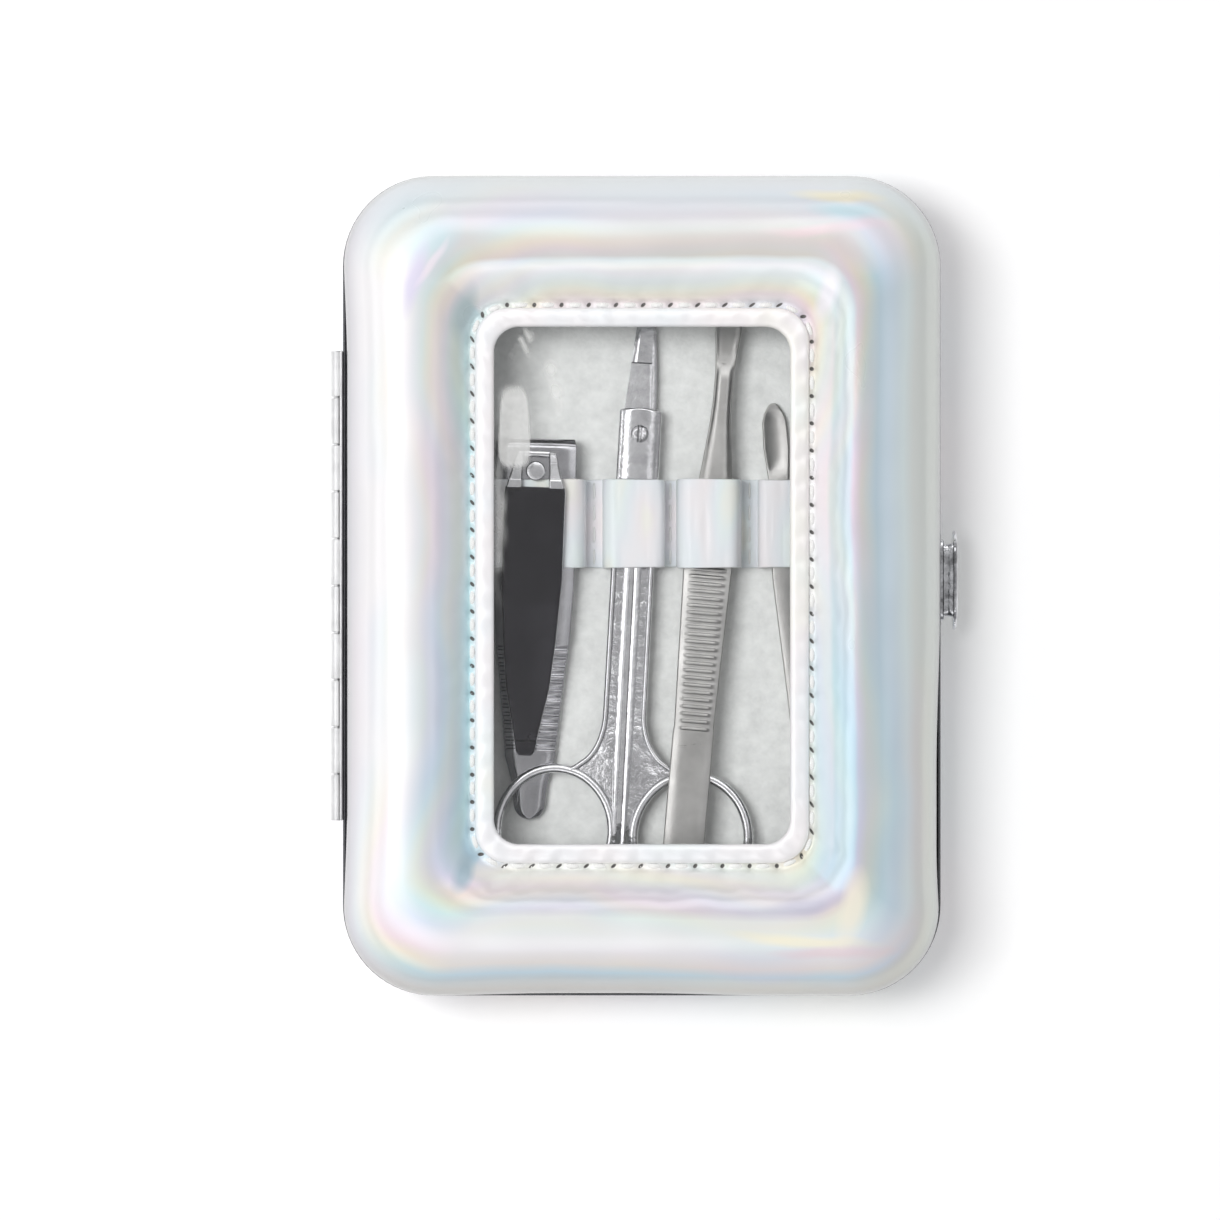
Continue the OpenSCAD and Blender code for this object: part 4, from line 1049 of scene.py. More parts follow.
class Workshop:
    """Makes the finishes once, dresses the frame's own nodes and adds the new pieces."""

    def __init__(self) -> None:
        """Builds every finish."""
        self.finishes = {slot: finish.build() for slot, finish in FINISHES.items()}
        self.special = {finish: finish.value.build() for finish in Special}

    def dress_nodes(self) -> None:
        """Gives each node of the frame the finish of its slot in the record."""
        slots = {part["node"]: Slot(part["material_slot"]) for part in frame["record"]["subparts"]}
        for name, node in frame["nodes"].items():
            node.data.materials.clear()
            node.data.materials.append(self.finishes[slots[name]])

    def add(
        self,
        name: str,
        surface: Surface,
        slot: Slot,
        body: Body,
        replaced: tuple[str, ...] = (),
        sharp: float = 40.0,
        special: Special | None = None,
    ) -> bpy.types.Object:
        """Makes a piece, gives it its finish and lets it ride on its body.

        Args:
            name: Name of the piece.
            surface: Its surface in millimetres.
            slot: Slot whose finish it takes.
            body: Body that it rides on.
            replaced: Nodes of the frame that it stands for.
            sharp: Angle in degrees past which an edge is sharp.
            special: Its own finish where it isn't the slot's, or None.

        Returns:
            The piece.
        """
        mesh = bpy.data.meshes.new(name)
        faces = [face for part in surface.faces for face in part.tolist()]
        mesh.from_pydata((surface.points * MM).tolist(), [], faces)
        for label, values in surface.values.items():
            kind = "FLOAT_VECTOR" if values.ndim == 2 else "FLOAT"
            attribute = mesh.attributes.new(label, kind, "POINT")
            attribute.data.foreach_set("vector" if values.ndim == 2 else "value", values.astype(np.float32).ravel())
        mesh.polygons.foreach_set("use_smooth", np.ones(len(mesh.polygons), bool))
        mesh.set_sharp_from_angle(angle=np.radians(sharp))
        mesh.materials.append(self.special[special] if special else self.finishes[slot])
        piece = bpy.data.objects.new(name, mesh)
        bpy.context.scene.collection.objects.link(piece)
        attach(piece, body.value)
        if replaced:
            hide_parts(*replaced)
        LOG.info("%s: %d faces", name, len(mesh.polygons))
        return piece


@dataclass(frozen=True)
class Shape:
    """Outline of the case at any inset, from the frame at 0 to the window's opening.

    Half sizes and corner radius run evenly from the frame's to the window's.
    """

    half_w: float
    half_l: float
    corner: float = 12.5
    window_half_w: float = 20.25
    window_half_l: float = 35.4
    window_corner: float = 3.4

    @property
    def window_in(self) -> float:
        """Inset of the window's opening."""
        return self.half_w - self.window_half_w

    def sizes(self, inset: Array | float) -> tuple[Array, Array, Array]:
        """Half width, half length and corner radius at an inset.

        Args:
            inset: Insets from the frame.

        Returns:
            Half widths, half lengths and corner radii.
        """
        share = np.asarray(inset, float) / self.window_in
        return (
            self.half_w - np.asarray(inset, float),
            lerp(self.half_l, self.window_half_l, share),
            lerp(self.corner, self.window_corner, share),
        )

    def template(self, inset: float, count: int) -> Places:
        """Places round the outline that are evenly spaced at one inset.

        Args:
            inset: Inset at which the spacing is even.
            count: Number of places.

        Returns:
            Each place's share along the straight stretches in X and in Y, its angle, and its distance
            round the outline from the lower end of the button side.
        """
        half_w, half_l, corner = (float(v) for v in self.sizes(inset))
        side, end, arc = 2 * (half_l - corner), 2 * (half_w - corner), np.pi / 2 * corner
        ends = np.cumsum([0] + [side, arc, end, arc] * 2)
        distance = np.linspace(0, ends[-1], count, endpoint=False)
        along_x = np.interp(distance, ends, [1, 1, 1, -1, -1, -1, -1, 1, 1])
        along_y = np.interp(distance, ends, [-1, 1, 1, 1, 1, -1, -1, -1, -1])
        angle = np.interp(distance, ends, [0, 0, 90, 90, 180, 180, 270, 270, 360])
        return along_x, along_y, np.radians(angle), distance

    def rings(self, profile: Array, template: Places) -> Array:
        """Rings of points that follow a profile of insets and heights.

        Args:
            profile: Rows of inset and height.
            template: Places round the outline.

        Returns:
            Points as rows, columns and coordinates.
        """
        along_x, along_y, angle, _ = template
        half_w, half_l, corner = (v[:, None] for v in self.sizes(profile[:, 0]))
        x = along_x * (half_w - corner) + corner * np.cos(angle)
        y = along_y * (half_l - corner) + corner * np.sin(angle)
        z = np.broadcast_to(profile[:, 1:2], x.shape)
        return np.stack([x, y, z], -1)


def shrinking(rings: Array, steps: int) -> Array:
    """Adds rings that shrink from the last one to a small one round its middle.

    Args:
        rings: Points as rows, columns and coordinates.
        steps: Number of rings to add.

    Returns:
        All the rings.
    """
    last = rings[-1]
    middle = last.mean(0)
    share = np.linspace(1, 0.03, steps + 1)[1:, None, None]
    return np.concatenate([rings, middle + (last - middle) * share])


def rounded(corners: list[Pair], radius: float) -> list[Pair]:
    """Rounds the corners of a closed section with short curves.

    Args:
        corners: Corners of the section.
        radius: How far from each corner the curve starts.

    Returns:
        Points of the section.
    """
    points = np.array(corners, float)
    before, after = np.roll(points, 1, 0), np.roll(points, -1, 0)
    out = []
    for a, b, c in zip(before, points, after):
        cut_in = b + (a - b) * min(radius / np.linalg.norm(a - b), 0.48)
        cut_out = b + (c - b) * min(radius / np.linalg.norm(c - b), 0.48)
        for t in np.linspace(0, 1, 4):
            out.append(tuple((1 - t) ** 2 * cut_in + 2 * t * (1 - t) * b + t * t * cut_out))
    return out


@dataclass(frozen=True)
class Padding:
    """Foil skins of both halves, the rolled edge and the seam round the window."""

    shop: Workshop
    shape: Shape
    height: float = 24.0
    part_height: float = 12.0
    edge_drop: float = 3.4
    skin_in: float = 0.3
    tuck_in: float = 0.52
    dome_run: float = 10.0
    dome_power: float = 2 / 2.2
    slope_in: float = 17.55
    slope_power: float = 2.6
    valley: float = 20.3
    seam_in: float = 17.95
    binding_in: float = 18.35
    binding_height: float = 0.8
    flange_in: float = 20.6
    skin: float = 0.8
    stitches: int = 64

    def dome(self, edge: float, end: float, count: int, inset: float = 0.0) -> Array:
        """Rounded edge: run * (1 - cos^p) inwards and rise * sin^p up, for the angle from 0 to 90.

        Args:
            edge: Height of the widest line.
            end: Height where it turns flat.
            count: Number of points.
            inset: How far inside the outer skin it lies.

        Returns:
            Rows of inset and height.
        """
        angle = np.linspace(0, np.pi / 2, count)
        cos, sin = np.maximum(np.cos(angle), 0), np.sin(angle)
        run = self.dome_run - inset
        return np.column_stack([
            self.skin_in + inset + run * (1 - cos ** self.dome_power),
            edge + (end - edge) * sin ** self.dome_power,
        ])

    def holes(self, distance: Array, length: float) -> Array:
        """Distance of each place round the seam to the nearest stitch hole."""
        pitch = length / self.stitches
        return np.abs((distance / pitch + 0.5) % 1 - 0.5) * pitch

    def drawn(self, template: Places) -> Array:
        """How far the skin is drawn in at each place: out over the frame but for three stretches.

        Args:
            template: Places round the outline.

        Returns:
            Distances, below 0 where the skin swells out.
        """
        x, y, _ = self.shape.rings(np.array([[0.0, 0.0]]), template)[0].T
        side, end = np.cos(template[2]), np.sin(template[2])
        hinge = 0.5 * (1 - smooth(30, 50, np.abs(y))) * (side < -0.5)
        button = 0.52 * smooth(0, -26, y) * (1 - smooth(-36, -52, y)) * (side > 0.5)
        ring_end = 0.3 * np.exp(-(((x + 6) / 16) ** 4)) * (end < -0.5)
        return hinge + button + ring_end - 0.17

    def lid_skin(self) -> None:
        """Lid skin: bulge, dome, fall to the seam, strip with stitch holes and gathers."""
        shape, edge = self.shape, self.part_height + self.edge_drop
        low = self.part_height + 0.7
        crest = self.skin_in + self.dome_run
        tuck = np.array([(self.tuck_in, low), (self.tuck_in, low + 1.2), (self.tuck_in - 0.08, low + 1.9)])
        share = np.linspace(0, 1, 26)[1:]
        fall = np.column_stack([
            lerp(crest, self.slope_in, share),
            self.valley + (self.height - self.valley) * (1 - share ** self.slope_power),
        ])
        strip = np.array([(d, self.valley) for d in np.linspace(self.slope_in, self.flange_in, 14)[1:]])
        under = np.array([(self.flange_in, self.valley - 0.5), (self.slope_in - 0.6, self.valley - 0.5)])
        inner_dome = self.dome(edge, self.height - self.skin, 8, self.skin)[::-1]
        inner_end = np.array([(self.tuck_in + self.skin, low + 1.4), (self.tuck_in + self.skin, low)])
        outer = np.concatenate([tuck, self.dome(edge, self.height, 34), fall, strip])
        profile = np.concatenate([outer, under, inner_dome, inner_end])
        template = shape.template(self.seam_in, 768)
        rings = shape.rings(profile, template)
        distance = template[3]
        length = distance[-1] + distance[1]
        gap = self.holes(distance, length)[None]
        inset = profile[:, :1]
        shown = (np.arange(len(profile)) < len(outer))[:, None]
        x, y = rings[..., 0], rings[..., 1]
        swell = 0.5 + 0.5 * np.cos(2 * np.pi * distance / (length / self.stitches))[None]
        strength = 0.75 + 0.25 * ripple(distance, 0 * distance, 14.0, 3)[None]
        hole = np.exp(-((gap / 0.42) ** 2) - ((inset - self.seam_in) / 0.34) ** 2)
        gather = swell * strength * smooth(13.2, 17.2, inset) * (1 - smooth(17.3, 18.3, inset))
        lumps = (ripple(x, y, 16.0, 5) - 2.2) * smooth(1.5, 6.0, inset) * (1 - smooth(15.0, 17.6, inset))
        wrinkle = ripple(
            distance, 0 * distance, 5.0, 9
        )[None] * smooth(11.5, 16.5, inset) * (1 - smooth(17.0, 18.0, inset))
        rings[..., 2] += np.where(shown, 0.06 * lumps - 0.32 * gather - 0.1 * wrinkle - 0.45 * hole, 0)
        rings[..., 2] = np.minimum(rings[..., 2], self.height)
        rings[..., :2] -= self.drawn(template)[..., None] * (
            1 - smooth(2.0, 9.0, inset)
        )[..., None] * np.stack([np.cos(template[2]), np.sin(template[2])], -1)
        outward = np.stack([np.cos(template[2]), np.sin(template[2]), 0 * distance], -1)
        turn = 2 * np.pi * distance / (length / self.stitches)
        seam = [np.cos(turn), np.sin(turn), np.where(shown, inset - self.seam_in, 9.0)]
        values = {
            "reach": np.broadcast_to(inset / shape.window_in, x.shape),
            "seam": np.stack([np.broadcast_to(v, x.shape) for v in seam], -1),
            "outward": np.broadcast_to(outward, rings.shape),
        }
        surface = Surface.from_grid(rings, wrap_rows=True, values=values)
        piece = self.shop.add("lid_skin", surface, Slot.FOIL, Body.LID, ("lid_cover",), 60, Special.BANDED_FOIL)

    def base_skin(self) -> None:
        """Base skin: dome down to a flat underside, with a softly uneven side."""
        edge = self.part_height - self.edge_drop
        high = self.part_height - 0.7
        share = self.dome(edge, 0.0, 26)[::-1]
        top = np.array([(self.tuck_in - 0.08, high - 1.9), (self.tuck_in, high - 1.2), (self.tuck_in, high)])
        inner = np.array([(self.tuck_in + self.skin, high), (self.tuck_in + self.skin, high - 1.2)])
        inner_dome = self.dome(edge, self.skin, 8, self.skin)
        template = self.shape.template(6.0, 320)
        outside = self.shape.rings(np.concatenate([share, top, inner, inner_dome]), template)
        floor = shrinking(outside[:1], 10)[1:][::-1]
        ceiling = shrinking(outside[-1:], 6)[1:]
        rings = np.concatenate([floor, outside, ceiling])
        x, y = rings[..., 0], rings[..., 1]
        row = np.arange(len(rings))[:, None] - len(floor)
        side = np.where((row > 1) & (row < len(share)), 1.0, 0.0)
        rings[..., 2] += 0.06 * side * (0.5 + 0.5 * ripple(x, y, 15.0, 12))
        piece = self.shop.add("base_skin", Surface.from_grid(rings), Slot.FOIL, Body.BASE, ("base_cover",), 60)

    def rolled_edge(self) -> None:
        """Rolled edge round the window: half an oval section with gathers at the stitches."""
        shape = self.shape
        template = shape.template(self.seam_in, 768)
        distance = template[3]
        length = distance[-1] + distance[1]
        angle = np.linspace(0, np.pi, 17)
        inner = shape.window_in
        middle, half = (self.binding_in + inner) / 2, (inner - self.binding_in) / 2
        base = self.valley + 0.05
        top = np.column_stack([middle - half * np.cos(angle), base + self.binding_height * np.sin(angle) ** 0.45])
        floor = np.array([(middle + half * 0.5, base), (middle - half * 0.5, base)])
        profile = np.concatenate([top, floor])
        rings = shape.rings(profile, template)
        wave = 0.5 + 0.5 * np.cos(2 * np.pi * distance / (length / self.stitches))[None]
        fine = ripple(distance, 0 * distance, 2.6, 21)[None]
        lift = (rings[..., 2] - base) / self.binding_height
        outer = smooth(0, 1, (inner - profile[:, :1]) / (2 * half))
        rings[..., 2] -= lift * (0.16 * wave * outer + 0.03 * fine)
        surface = Surface.from_grid(rings, wrap_rows=True)
        self.shop.add("window_rolled_edge", surface, Slot.FOIL, Body.LID, ("window_binding",), 60, Special.EDGE_FOIL)

    def seam_thread(self) -> None:
        """Seam round the window: one raised stitch from each hole to the next."""
        shape = self.shape
        fine = shape.template(self.seam_in, 4096)
        ring = shape.rings(np.array([[self.seam_in, self.valley]]), fine)[0]
        pitch = len(ring) / self.stitches
        parts = []
        for k in range(self.stitches):
            ends = ring[(np.array([k + 0.2, k + 0.8]) * pitch).astype(int) % len(ring)]
            parts.append(stitch(*(ends - [0, 0, 0.35]), 0.38, 0.42))
        self.shop.add("window_seam_thread", joined(parts), Slot.THREAD, Body.LID, ("window_stitches",), 80)

    def build(self) -> None:
        """Builds the skins, the rolled edge and the seam."""
        self.lid_skin()
        self.base_skin()
        self.rolled_edge()
        self.seam_thread()


def stitch(start: Array, end: Array, radius: float, rise: float) -> Surface:
    """Stitch: a tube along a low sine arch that thins towards both holes.

    Args:
        start: Where it comes out.
        end: Where it goes in.
        radius: Radius of the thread.
        rise: Height of the arch.

    Returns:
        The closed tube, with its values along and around.
    """
    share = np.linspace(0, 1, 9)
    up_axis = np.array([0.0, 0.0, 1.0])
    line = start + (end - start) * share[:, None] + up_axis * (rise * np.sin(np.pi * share)[:, None] - 0.1)
    ahead = (end - start) / np.linalg.norm(end - start)
    side = np.cross(up_axis, ahead)
    angle = np.linspace(0, 2 * np.pi, 8, endpoint=False)
    thick = radius * (0.55 + 0.45 * np.sin(np.pi * share) ** 0.5)[:, None, None]
    circle = side * np.cos(angle)[:, None] - up_axis * np.sin(angle)[:, None]
    rings = line[:, None] + thick * circle
    values = {
        "along": np.broadcast_to(share[:, None], rings.shape[:2]),
        "around": np.broadcast_to(np.abs(angle / np.pi - 1), rings.shape[:2]),
    }
    return Surface.from_grid(rings[:, ::-1], values=values)


@dataclass(frozen=True)
class Metalwork:
    """Frames, hinge, push button and escutcheon."""

    shop: Workshop
    shape: Shape
    frame_w: float = 3.4
    frame_t: float = 0.4

    def frames(self) -> None:
        """Both frame channels: a U section with rounded edges, open away from the other half."""
        for name, body, up in (("lid_frame", Body.LID, 1), ("base_frame", Body.BASE, -1)):
            low, high = box_mm(name)
            rim, lips = (low[2], high[2]) if up > 0 else (high[2], low[2])
            t, w = self.frame_t, self.frame_w
            section = [(0, rim), (0, lips), (t, lips), (t, rim + up * t), (
                w - t, rim + up * t
            ), (w - t, lips), (w, lips), (w, rim)]
            if up < 0:
                section = section[::-1]
            rings = self.shape.rings(np.array(rounded(section, 0.17)), self.shape.template(2.0, 320))
            surface = Surface.from_grid(rings, wrap_rows=True)
            self.shop.add(name + "_channel", surface, Slot.FRAME, body, (name,), 50)

    def hinge(self) -> None:
        """Hinge: curled knuckles with softened ends, leaf strips and a domed pin."""
        pin_low, pin_high = box_mm("hinge_pin")
        axis_x, _, axis_z = (pin_low + pin_high) / 2
        radius, pin_r, pitch, end, soft = 0.8, 0.43, 6.5, 3.15, 0.1
        leaf_t, leaf_gap = 0.4, 0.02
        middle = leaf_t / 2 - (self.shape.half_w + leaf_gap + leaf_t)
        rim = [(pin_r + 0.03, end - soft), (radius - soft, end), (radius, end - soft)]
        barrel = turned([(r, -z) for r, z in rim] + rim[::-1], 32)
        for name, body, first, up in (("hinge_base_leaf", Body.BASE, 0, -1), ("hinge_lid_leaf", Body.LID, 1, 1)):
            parts = []
            for k in range(first, 10, 2):
                y = (k - 4.5) * pitch
                z0, z1 = sorted((axis_z + up * 0.35, axis_z + up * 1.1))
                tab = Bar(np.array([y - end, y + end]), leaf_t / 2, z0, z1, 0.1, middle, 0, 0.08)
                parts += [barrel.moved((axis_x, y, axis_z), pitch=90), tab.surface()]
            z0, z1 = sorted((axis_z + up * 0.95, axis_z + up * 2.55))
            parts.append(Bar(np.array([-32.4, 32.4]), leaf_t / 2, z0, z1, 0.12, middle, 0, 0.1).surface())
            self.shop.add(name + "_curled", joined(parts), Slot.HINGE, body, (name,), 35)
        half = (pin_high[1] - pin_low[1]) / 2
        pin = turned([(0.2, -half), (pin_r, -half + 0.15), (pin_r, half - 0.15), (0.2, half)], 24)
        pin = pin.moved((axis_x, 0, axis_z), pitch=90)
        self.shop.add("hinge_pin_domed", pin, Slot.HINGE, Body.BASE, ("hinge_pin",), 35)

    def button(self) -> None:
        """Push button: a thin round-ended cap on a broad shank with rounded edges and a collar."""
        low, high = box_mm("button_cap")
        depth, length, height = high - low
        levels = [(0.12, 0.0), (0.0, 0.1), (0.0, 0.3), (0.06, 0.4), (0.3, 0.52), (0.9, depth - 0.02), (2.2, depth)]
        cap = across_x(
            [(low[0] + x, inset) for inset, x in levels],
            lambda inset: (low + high)[1:] / 2 + stadium(length - 2 * inset, height - 2 * inset),
        )
        self.shop.add("button_cap_domed", Surface.from_grid(cap), Slot.BUTTON, Body.BUTTON, ("button_cap",), 30)
        near, far = box_mm("button_shank")
        middle, half = (near + far)[1:] / 2, (far - near)[1:] / 2
        stations = [
            (near[0], 0.15), (near[0] + 0.15, 0), (far[0] - 0.75, 0), (far[0] - 0.6, -0.02), (far[0] - 0.08, -0.13),
            (far[0], -0.13),
        ]
        shank = across_x(stations, lambda cut: middle + oval(*half, power=9) * (1 - cut / half))
        self.shop.add(
            "button_shank_rounded", Surface.from_grid(shank), Slot.BUTTON, Body.BUTTON, ("button_shank",), 30
        )
        seat = box_mm("latch_housing")[1][0] - 0.02
        section = [(0, 0.62), (0.3, 0.62), (0.42, 0.5), (0.42, 0.32), (0.3, 0.22), (0, 0.22)]
        rings = across_x([(seat + x, v) for x, v in section], lambda margin: oval(*(half + margin), middle, 9))
        self.shop.add("latch_collar", Surface.from_grid(rings, wrap_rows=True), Slot.BUTTON, Body.BASE, (), 30)

    def build(self) -> None:
        """Builds the frames, the hinge and the button."""
        self.frames()
        self.hinge()
        self.button()


def across_x(stations: list[Pair], outline: Callable[[float], Array]) -> Array:
    """Rings that stand square to X.

    Args:
        stations: Each ring's place in X and the value that its outline follows from.
        outline: Gives a ring's points in Y and Z for that value.

    Returns:
        Points as rows, columns and coordinates.
    """
    return np.array([np.insert(outline(value), 0, x, axis=1) for x, value in stations])


def stadium(length: float, height: float) -> Array:
    """Outline of two half circles joined by straight lines, anticlockwise and evenly spaced.

    Args:
        length: Overall length, along the first axis.
        height: Overall height.

    Returns:
        Points along both axes.
    """
    radius, straight = height / 2, length - height
    ends = np.cumsum([0, np.pi * radius, straight, np.pi * radius, straight])
    place = np.linspace(0, ends[-1], 96, endpoint=False)
    angle = np.radians(np.interp(place, ends, [-90, 90, 90, 270, 270]))
    middle = np.interp(place, ends, np.array([1, 1, -1, -1, 1]) * straight / 2)
    return np.column_stack([middle + radius * np.cos(angle), radius * np.sin(angle)])


@dataclass(frozen=True)
class Interior:
    """Linings, board, strap, its stitches and the clear window."""

    shop: Workshop
    shape: Shape
    board_top: float = 7.0
    strap_y: float = 8.6
    strap_w: float = 12.2
    strap_t: float = 0.5
    strap_left: float = -24.2
    strap_right: float = 25.6
    loop_power: float = 6.0
    edge_fall: float = 3.3
    tray_run: float = 5.0
    lining_t: float = 0.5
    loops: tuple[tuple[float, float, float], ...] = (
        (-14.9, 6.7, 5.6), (-1.1, 3.85, 4.65), (9.3, 4.05, 6.35), (19.5, 2.9, 2.3),
    )

    def stitch_lines(self) -> list[float]:
        """Places across the case where the strap is sewn down.

        Returns:
            Places in X.
        """
        feet = [(c - a - self.strap_t, c + a + self.strap_t) for c, a, _ in self.loops]
        between = [(feet[i][1] + feet[i + 1][0]) / 2 for i in range(len(feet) - 1)]
        return [(self.strap_left + feet[0][0]) / 2, *between, (self.strap_right + feet[-1][1]) / 2]

    def linings(self) -> None:
        """Linings: thin soft skins that follow both trays, with faint wrinkles in their walls."""
        for name, body, rise in (("base_lining", Body.BASE, 1), ("lid_lining", Body.LID, -1)):
            low, high = box_mm(name)
            edge_in = self.shape.half_w - high[0]
            floor, rim = (low[2], high[2]) if rise > 0 else (high[2], low[2])
            turn = rim - rise * self.edge_fall
            angle = np.linspace(0, np.pi / 2, 12)
            cos, sin = np.maximum(np.cos(angle), 0) ** (2 / 2.2), np.sin(angle) ** (2 / 2.2)
            t = self.lining_t
            outer = np.column_stack([edge_in + self.tray_run * (1 - cos), turn + (floor - turn) * sin])
            inner = np.column_stack([edge_in + t + (
                self.tray_run - 0.4
            ) * (1 - cos), turn + (floor + rise * t - turn) * sin])
            walls = [[(edge_in, rim), *outer], [*inner[::-1], (edge_in + t, rim)]]
            template = self.shape.template(6.0, 320)
            if rise > 0:
                outside = self.shape.rings(np.concatenate([walls[0][::-1], walls[1][::-1]]), template)
                floor_rings = shrinking(outside[:1], 8)[1:][::-1]
                rings = np.concatenate([floor_rings, outside, shrinking(outside[-1:], 30)[1:]])
            else:
                hole = self.shape.window_in - 0.75
                flat = np.linspace(inner[-1][0] + 1, hole, 16)
                top = [(d, floor) for d in flat[::-1]]
                under = [(d, floor - t) for d in flat]
                rings = self.shape.rings(np.array([*walls[0], *top[::-1], *under[::-1], *walls[1]]), template)
            x, y, z = rings[..., 0], rings[..., 1], rings[..., 2]
            inside = np.arange(len(rings))[:, None] >= (8 + 13 if rise > 0 else 13 + 16)
            soft = 0.04 * ripple(x + 2 * z, y, 9.0, 61) + 0.03 * ripple(x, y - z, 3.5, 62) - 0.1
            rings[..., 2] += rise * np.where(inside, soft * smooth(0.3, 2.0, np.abs(z - rim)), 0)
            surface = Surface.from_grid(rings, wrap_rows=rise < 0)
            self.shop.add(name + "_soft", surface, Slot.LINING, body, (name,), 50)

    def board(self) -> None:
        """Board: soft edge, a slightly uneven top and dents where the strap is sewn down."""
        low, _ = box_mm("tool_board")
        edge = self.shape.half_w + low[0]
        profile = np.array([
            (edge + 1.6, low[2]), (edge + 0.4, low[2] + 1.2), (edge + 0.05, self.board_top - 1.0),
            (edge + 0.15, self.board_top - 0.45), (edge + 0.5, self.board_top - 0.12), (edge + 1.1, self.board_top),
        ])
        inward = np.linspace(edge + 2, self.shape.window_in, 34)
        profile = np.concatenate([profile, np.column_stack([inward, np.full(34, self.board_top)])])
        rings = shrinking(self.shape.rings(profile, self.shape.template(10.0, 420)), 60)
        x, y = rings[..., 0], rings[..., 1]
        top = smooth(self.board_top - 0.3, self.board_top, rings[..., 2])
        dent = np.zeros(x.shape)
        reach = smooth(0, 1.5, self.strap_w / 2 + 0.8 - np.abs(y - self.strap_y))
        for line in self.stitch_lines():
            dent += np.exp(-(((x - line) / 1.1) ** 2)) * reach
        rings[..., 2] -= top * (0.22 * dent + 0.05 * (
            1 + ripple(x, y, 22.0, 31)
        ) / 2 + 0.02 * (1 + ripple(x, y, 5.0, 32)) / 2)
        self.shop.add("tool_board_padded", Surface.from_grid(rings), Slot.BOARD, Body.BASE, ("tool_board",), 50)

    def strap_path(self) -> Array:
        """Middle line of the strap in X and Z: flats joined by superellipse arches, slightly softened.

        Returns:
            Rows of X and height over the board.
        """
        half = self.strap_t / 2
        line = [(self.strap_left, half)]
        for middle, a, b in self.loops:
            angle = np.linspace(np.pi, 0, 81)
            cos, sin = np.cos(angle), np.maximum(np.sin(angle), 0)
            power = 2 / self.loop_power
            x = middle + (a + half) * bent(cos, power)
            z = np.maximum((b + half) * sin ** power, half)
            line += list(zip(x, z))
        line.append((self.strap_right, half))
        points = np.array(line)
        length = np.concatenate([[0], np.cumsum(np.linalg.norm(np.diff(points, axis=0), axis=1))])
        even = np.linspace(0, length[-1], 900)
        path = np.column_stack([np.interp(even, length, points[:, k]) for k in (0, 1)])
        kernel = np.hanning(9)
        padded = np.pad(path, ((4, 4), (0, 0)), mode="edge")
        for k in (0, 1):
            path[:, k] = np.convolve(padded[:, k], kernel / kernel.sum(), mode="valid")
        return path

    def strap(self) -> None:
        """Strap: a thin rounded section carried along its line, with edges that wave a little."""
        path = self.strap_path()
        ahead = np.gradient(path, axis=0)
        ahead /= np.linalg.norm(ahead, axis=1)[:, None]
        side, level, turn = box_section(9, 3)
        half, edge = self.strap_t / 2, 0.2
        wide = self.strap_w / 2 + 0.06 * ripple(path[:, 0], path[:, 1], 9.0, 41)
        across = side * (wide[:, None] - edge) + edge * np.sin(turn)
        off = level * (half - edge) + edge * np.cos(turn)
        x = path[:, :1] - ahead[:, 1:] * off
        z = path[:, 1:] + ahead[:, :1] * off + self.board_top + 0.05
        dip = 0.12 * smooth(2.0, 5.0, path[:, 1])[:, None] * (1 - (across / (self.strap_w / 2)) ** 2)
        crease = 0.05 * ripple(3.0 * path[:, :1], 0.5 * across, 5.0, 42)
        crumple = 0.05 * ripple(path[:, :1], across, 2.2, 43) * (1 - smooth(0.6, 3.0, path[:, 1]))[:, None]
        rings = np.stack([x, self.strap_y - across, z - dip + np.minimum(crease + crumple, 0.0)], -1)
        surface = Surface.from_grid(rings)
        self.shop.add("tool_strap_looped", surface, Slot.FOIL, Body.BASE, ("tool_strap",), 50, Special.STRAP_FOIL)

    def strap_thread(self) -> None:
        """Stitches that hold the strap down between its loops."""
        height = self.board_top + 0.05 + self.strap_t
        step = self.strap_w / 4
        parts = []
        for x in self.stitch_lines():
            for k in range(4):
                y = self.strap_y + (k - 1.5) * step
                ends = np.array([(x, y - 1.1, height), (x, y + 1.1, height)])
                parts.append(stitch(*ends, 0.17, 0.22))
        self.shop.add("strap_thread", joined(parts), Slot.THREAD, Body.BASE, ("strap_stitches",), 80)

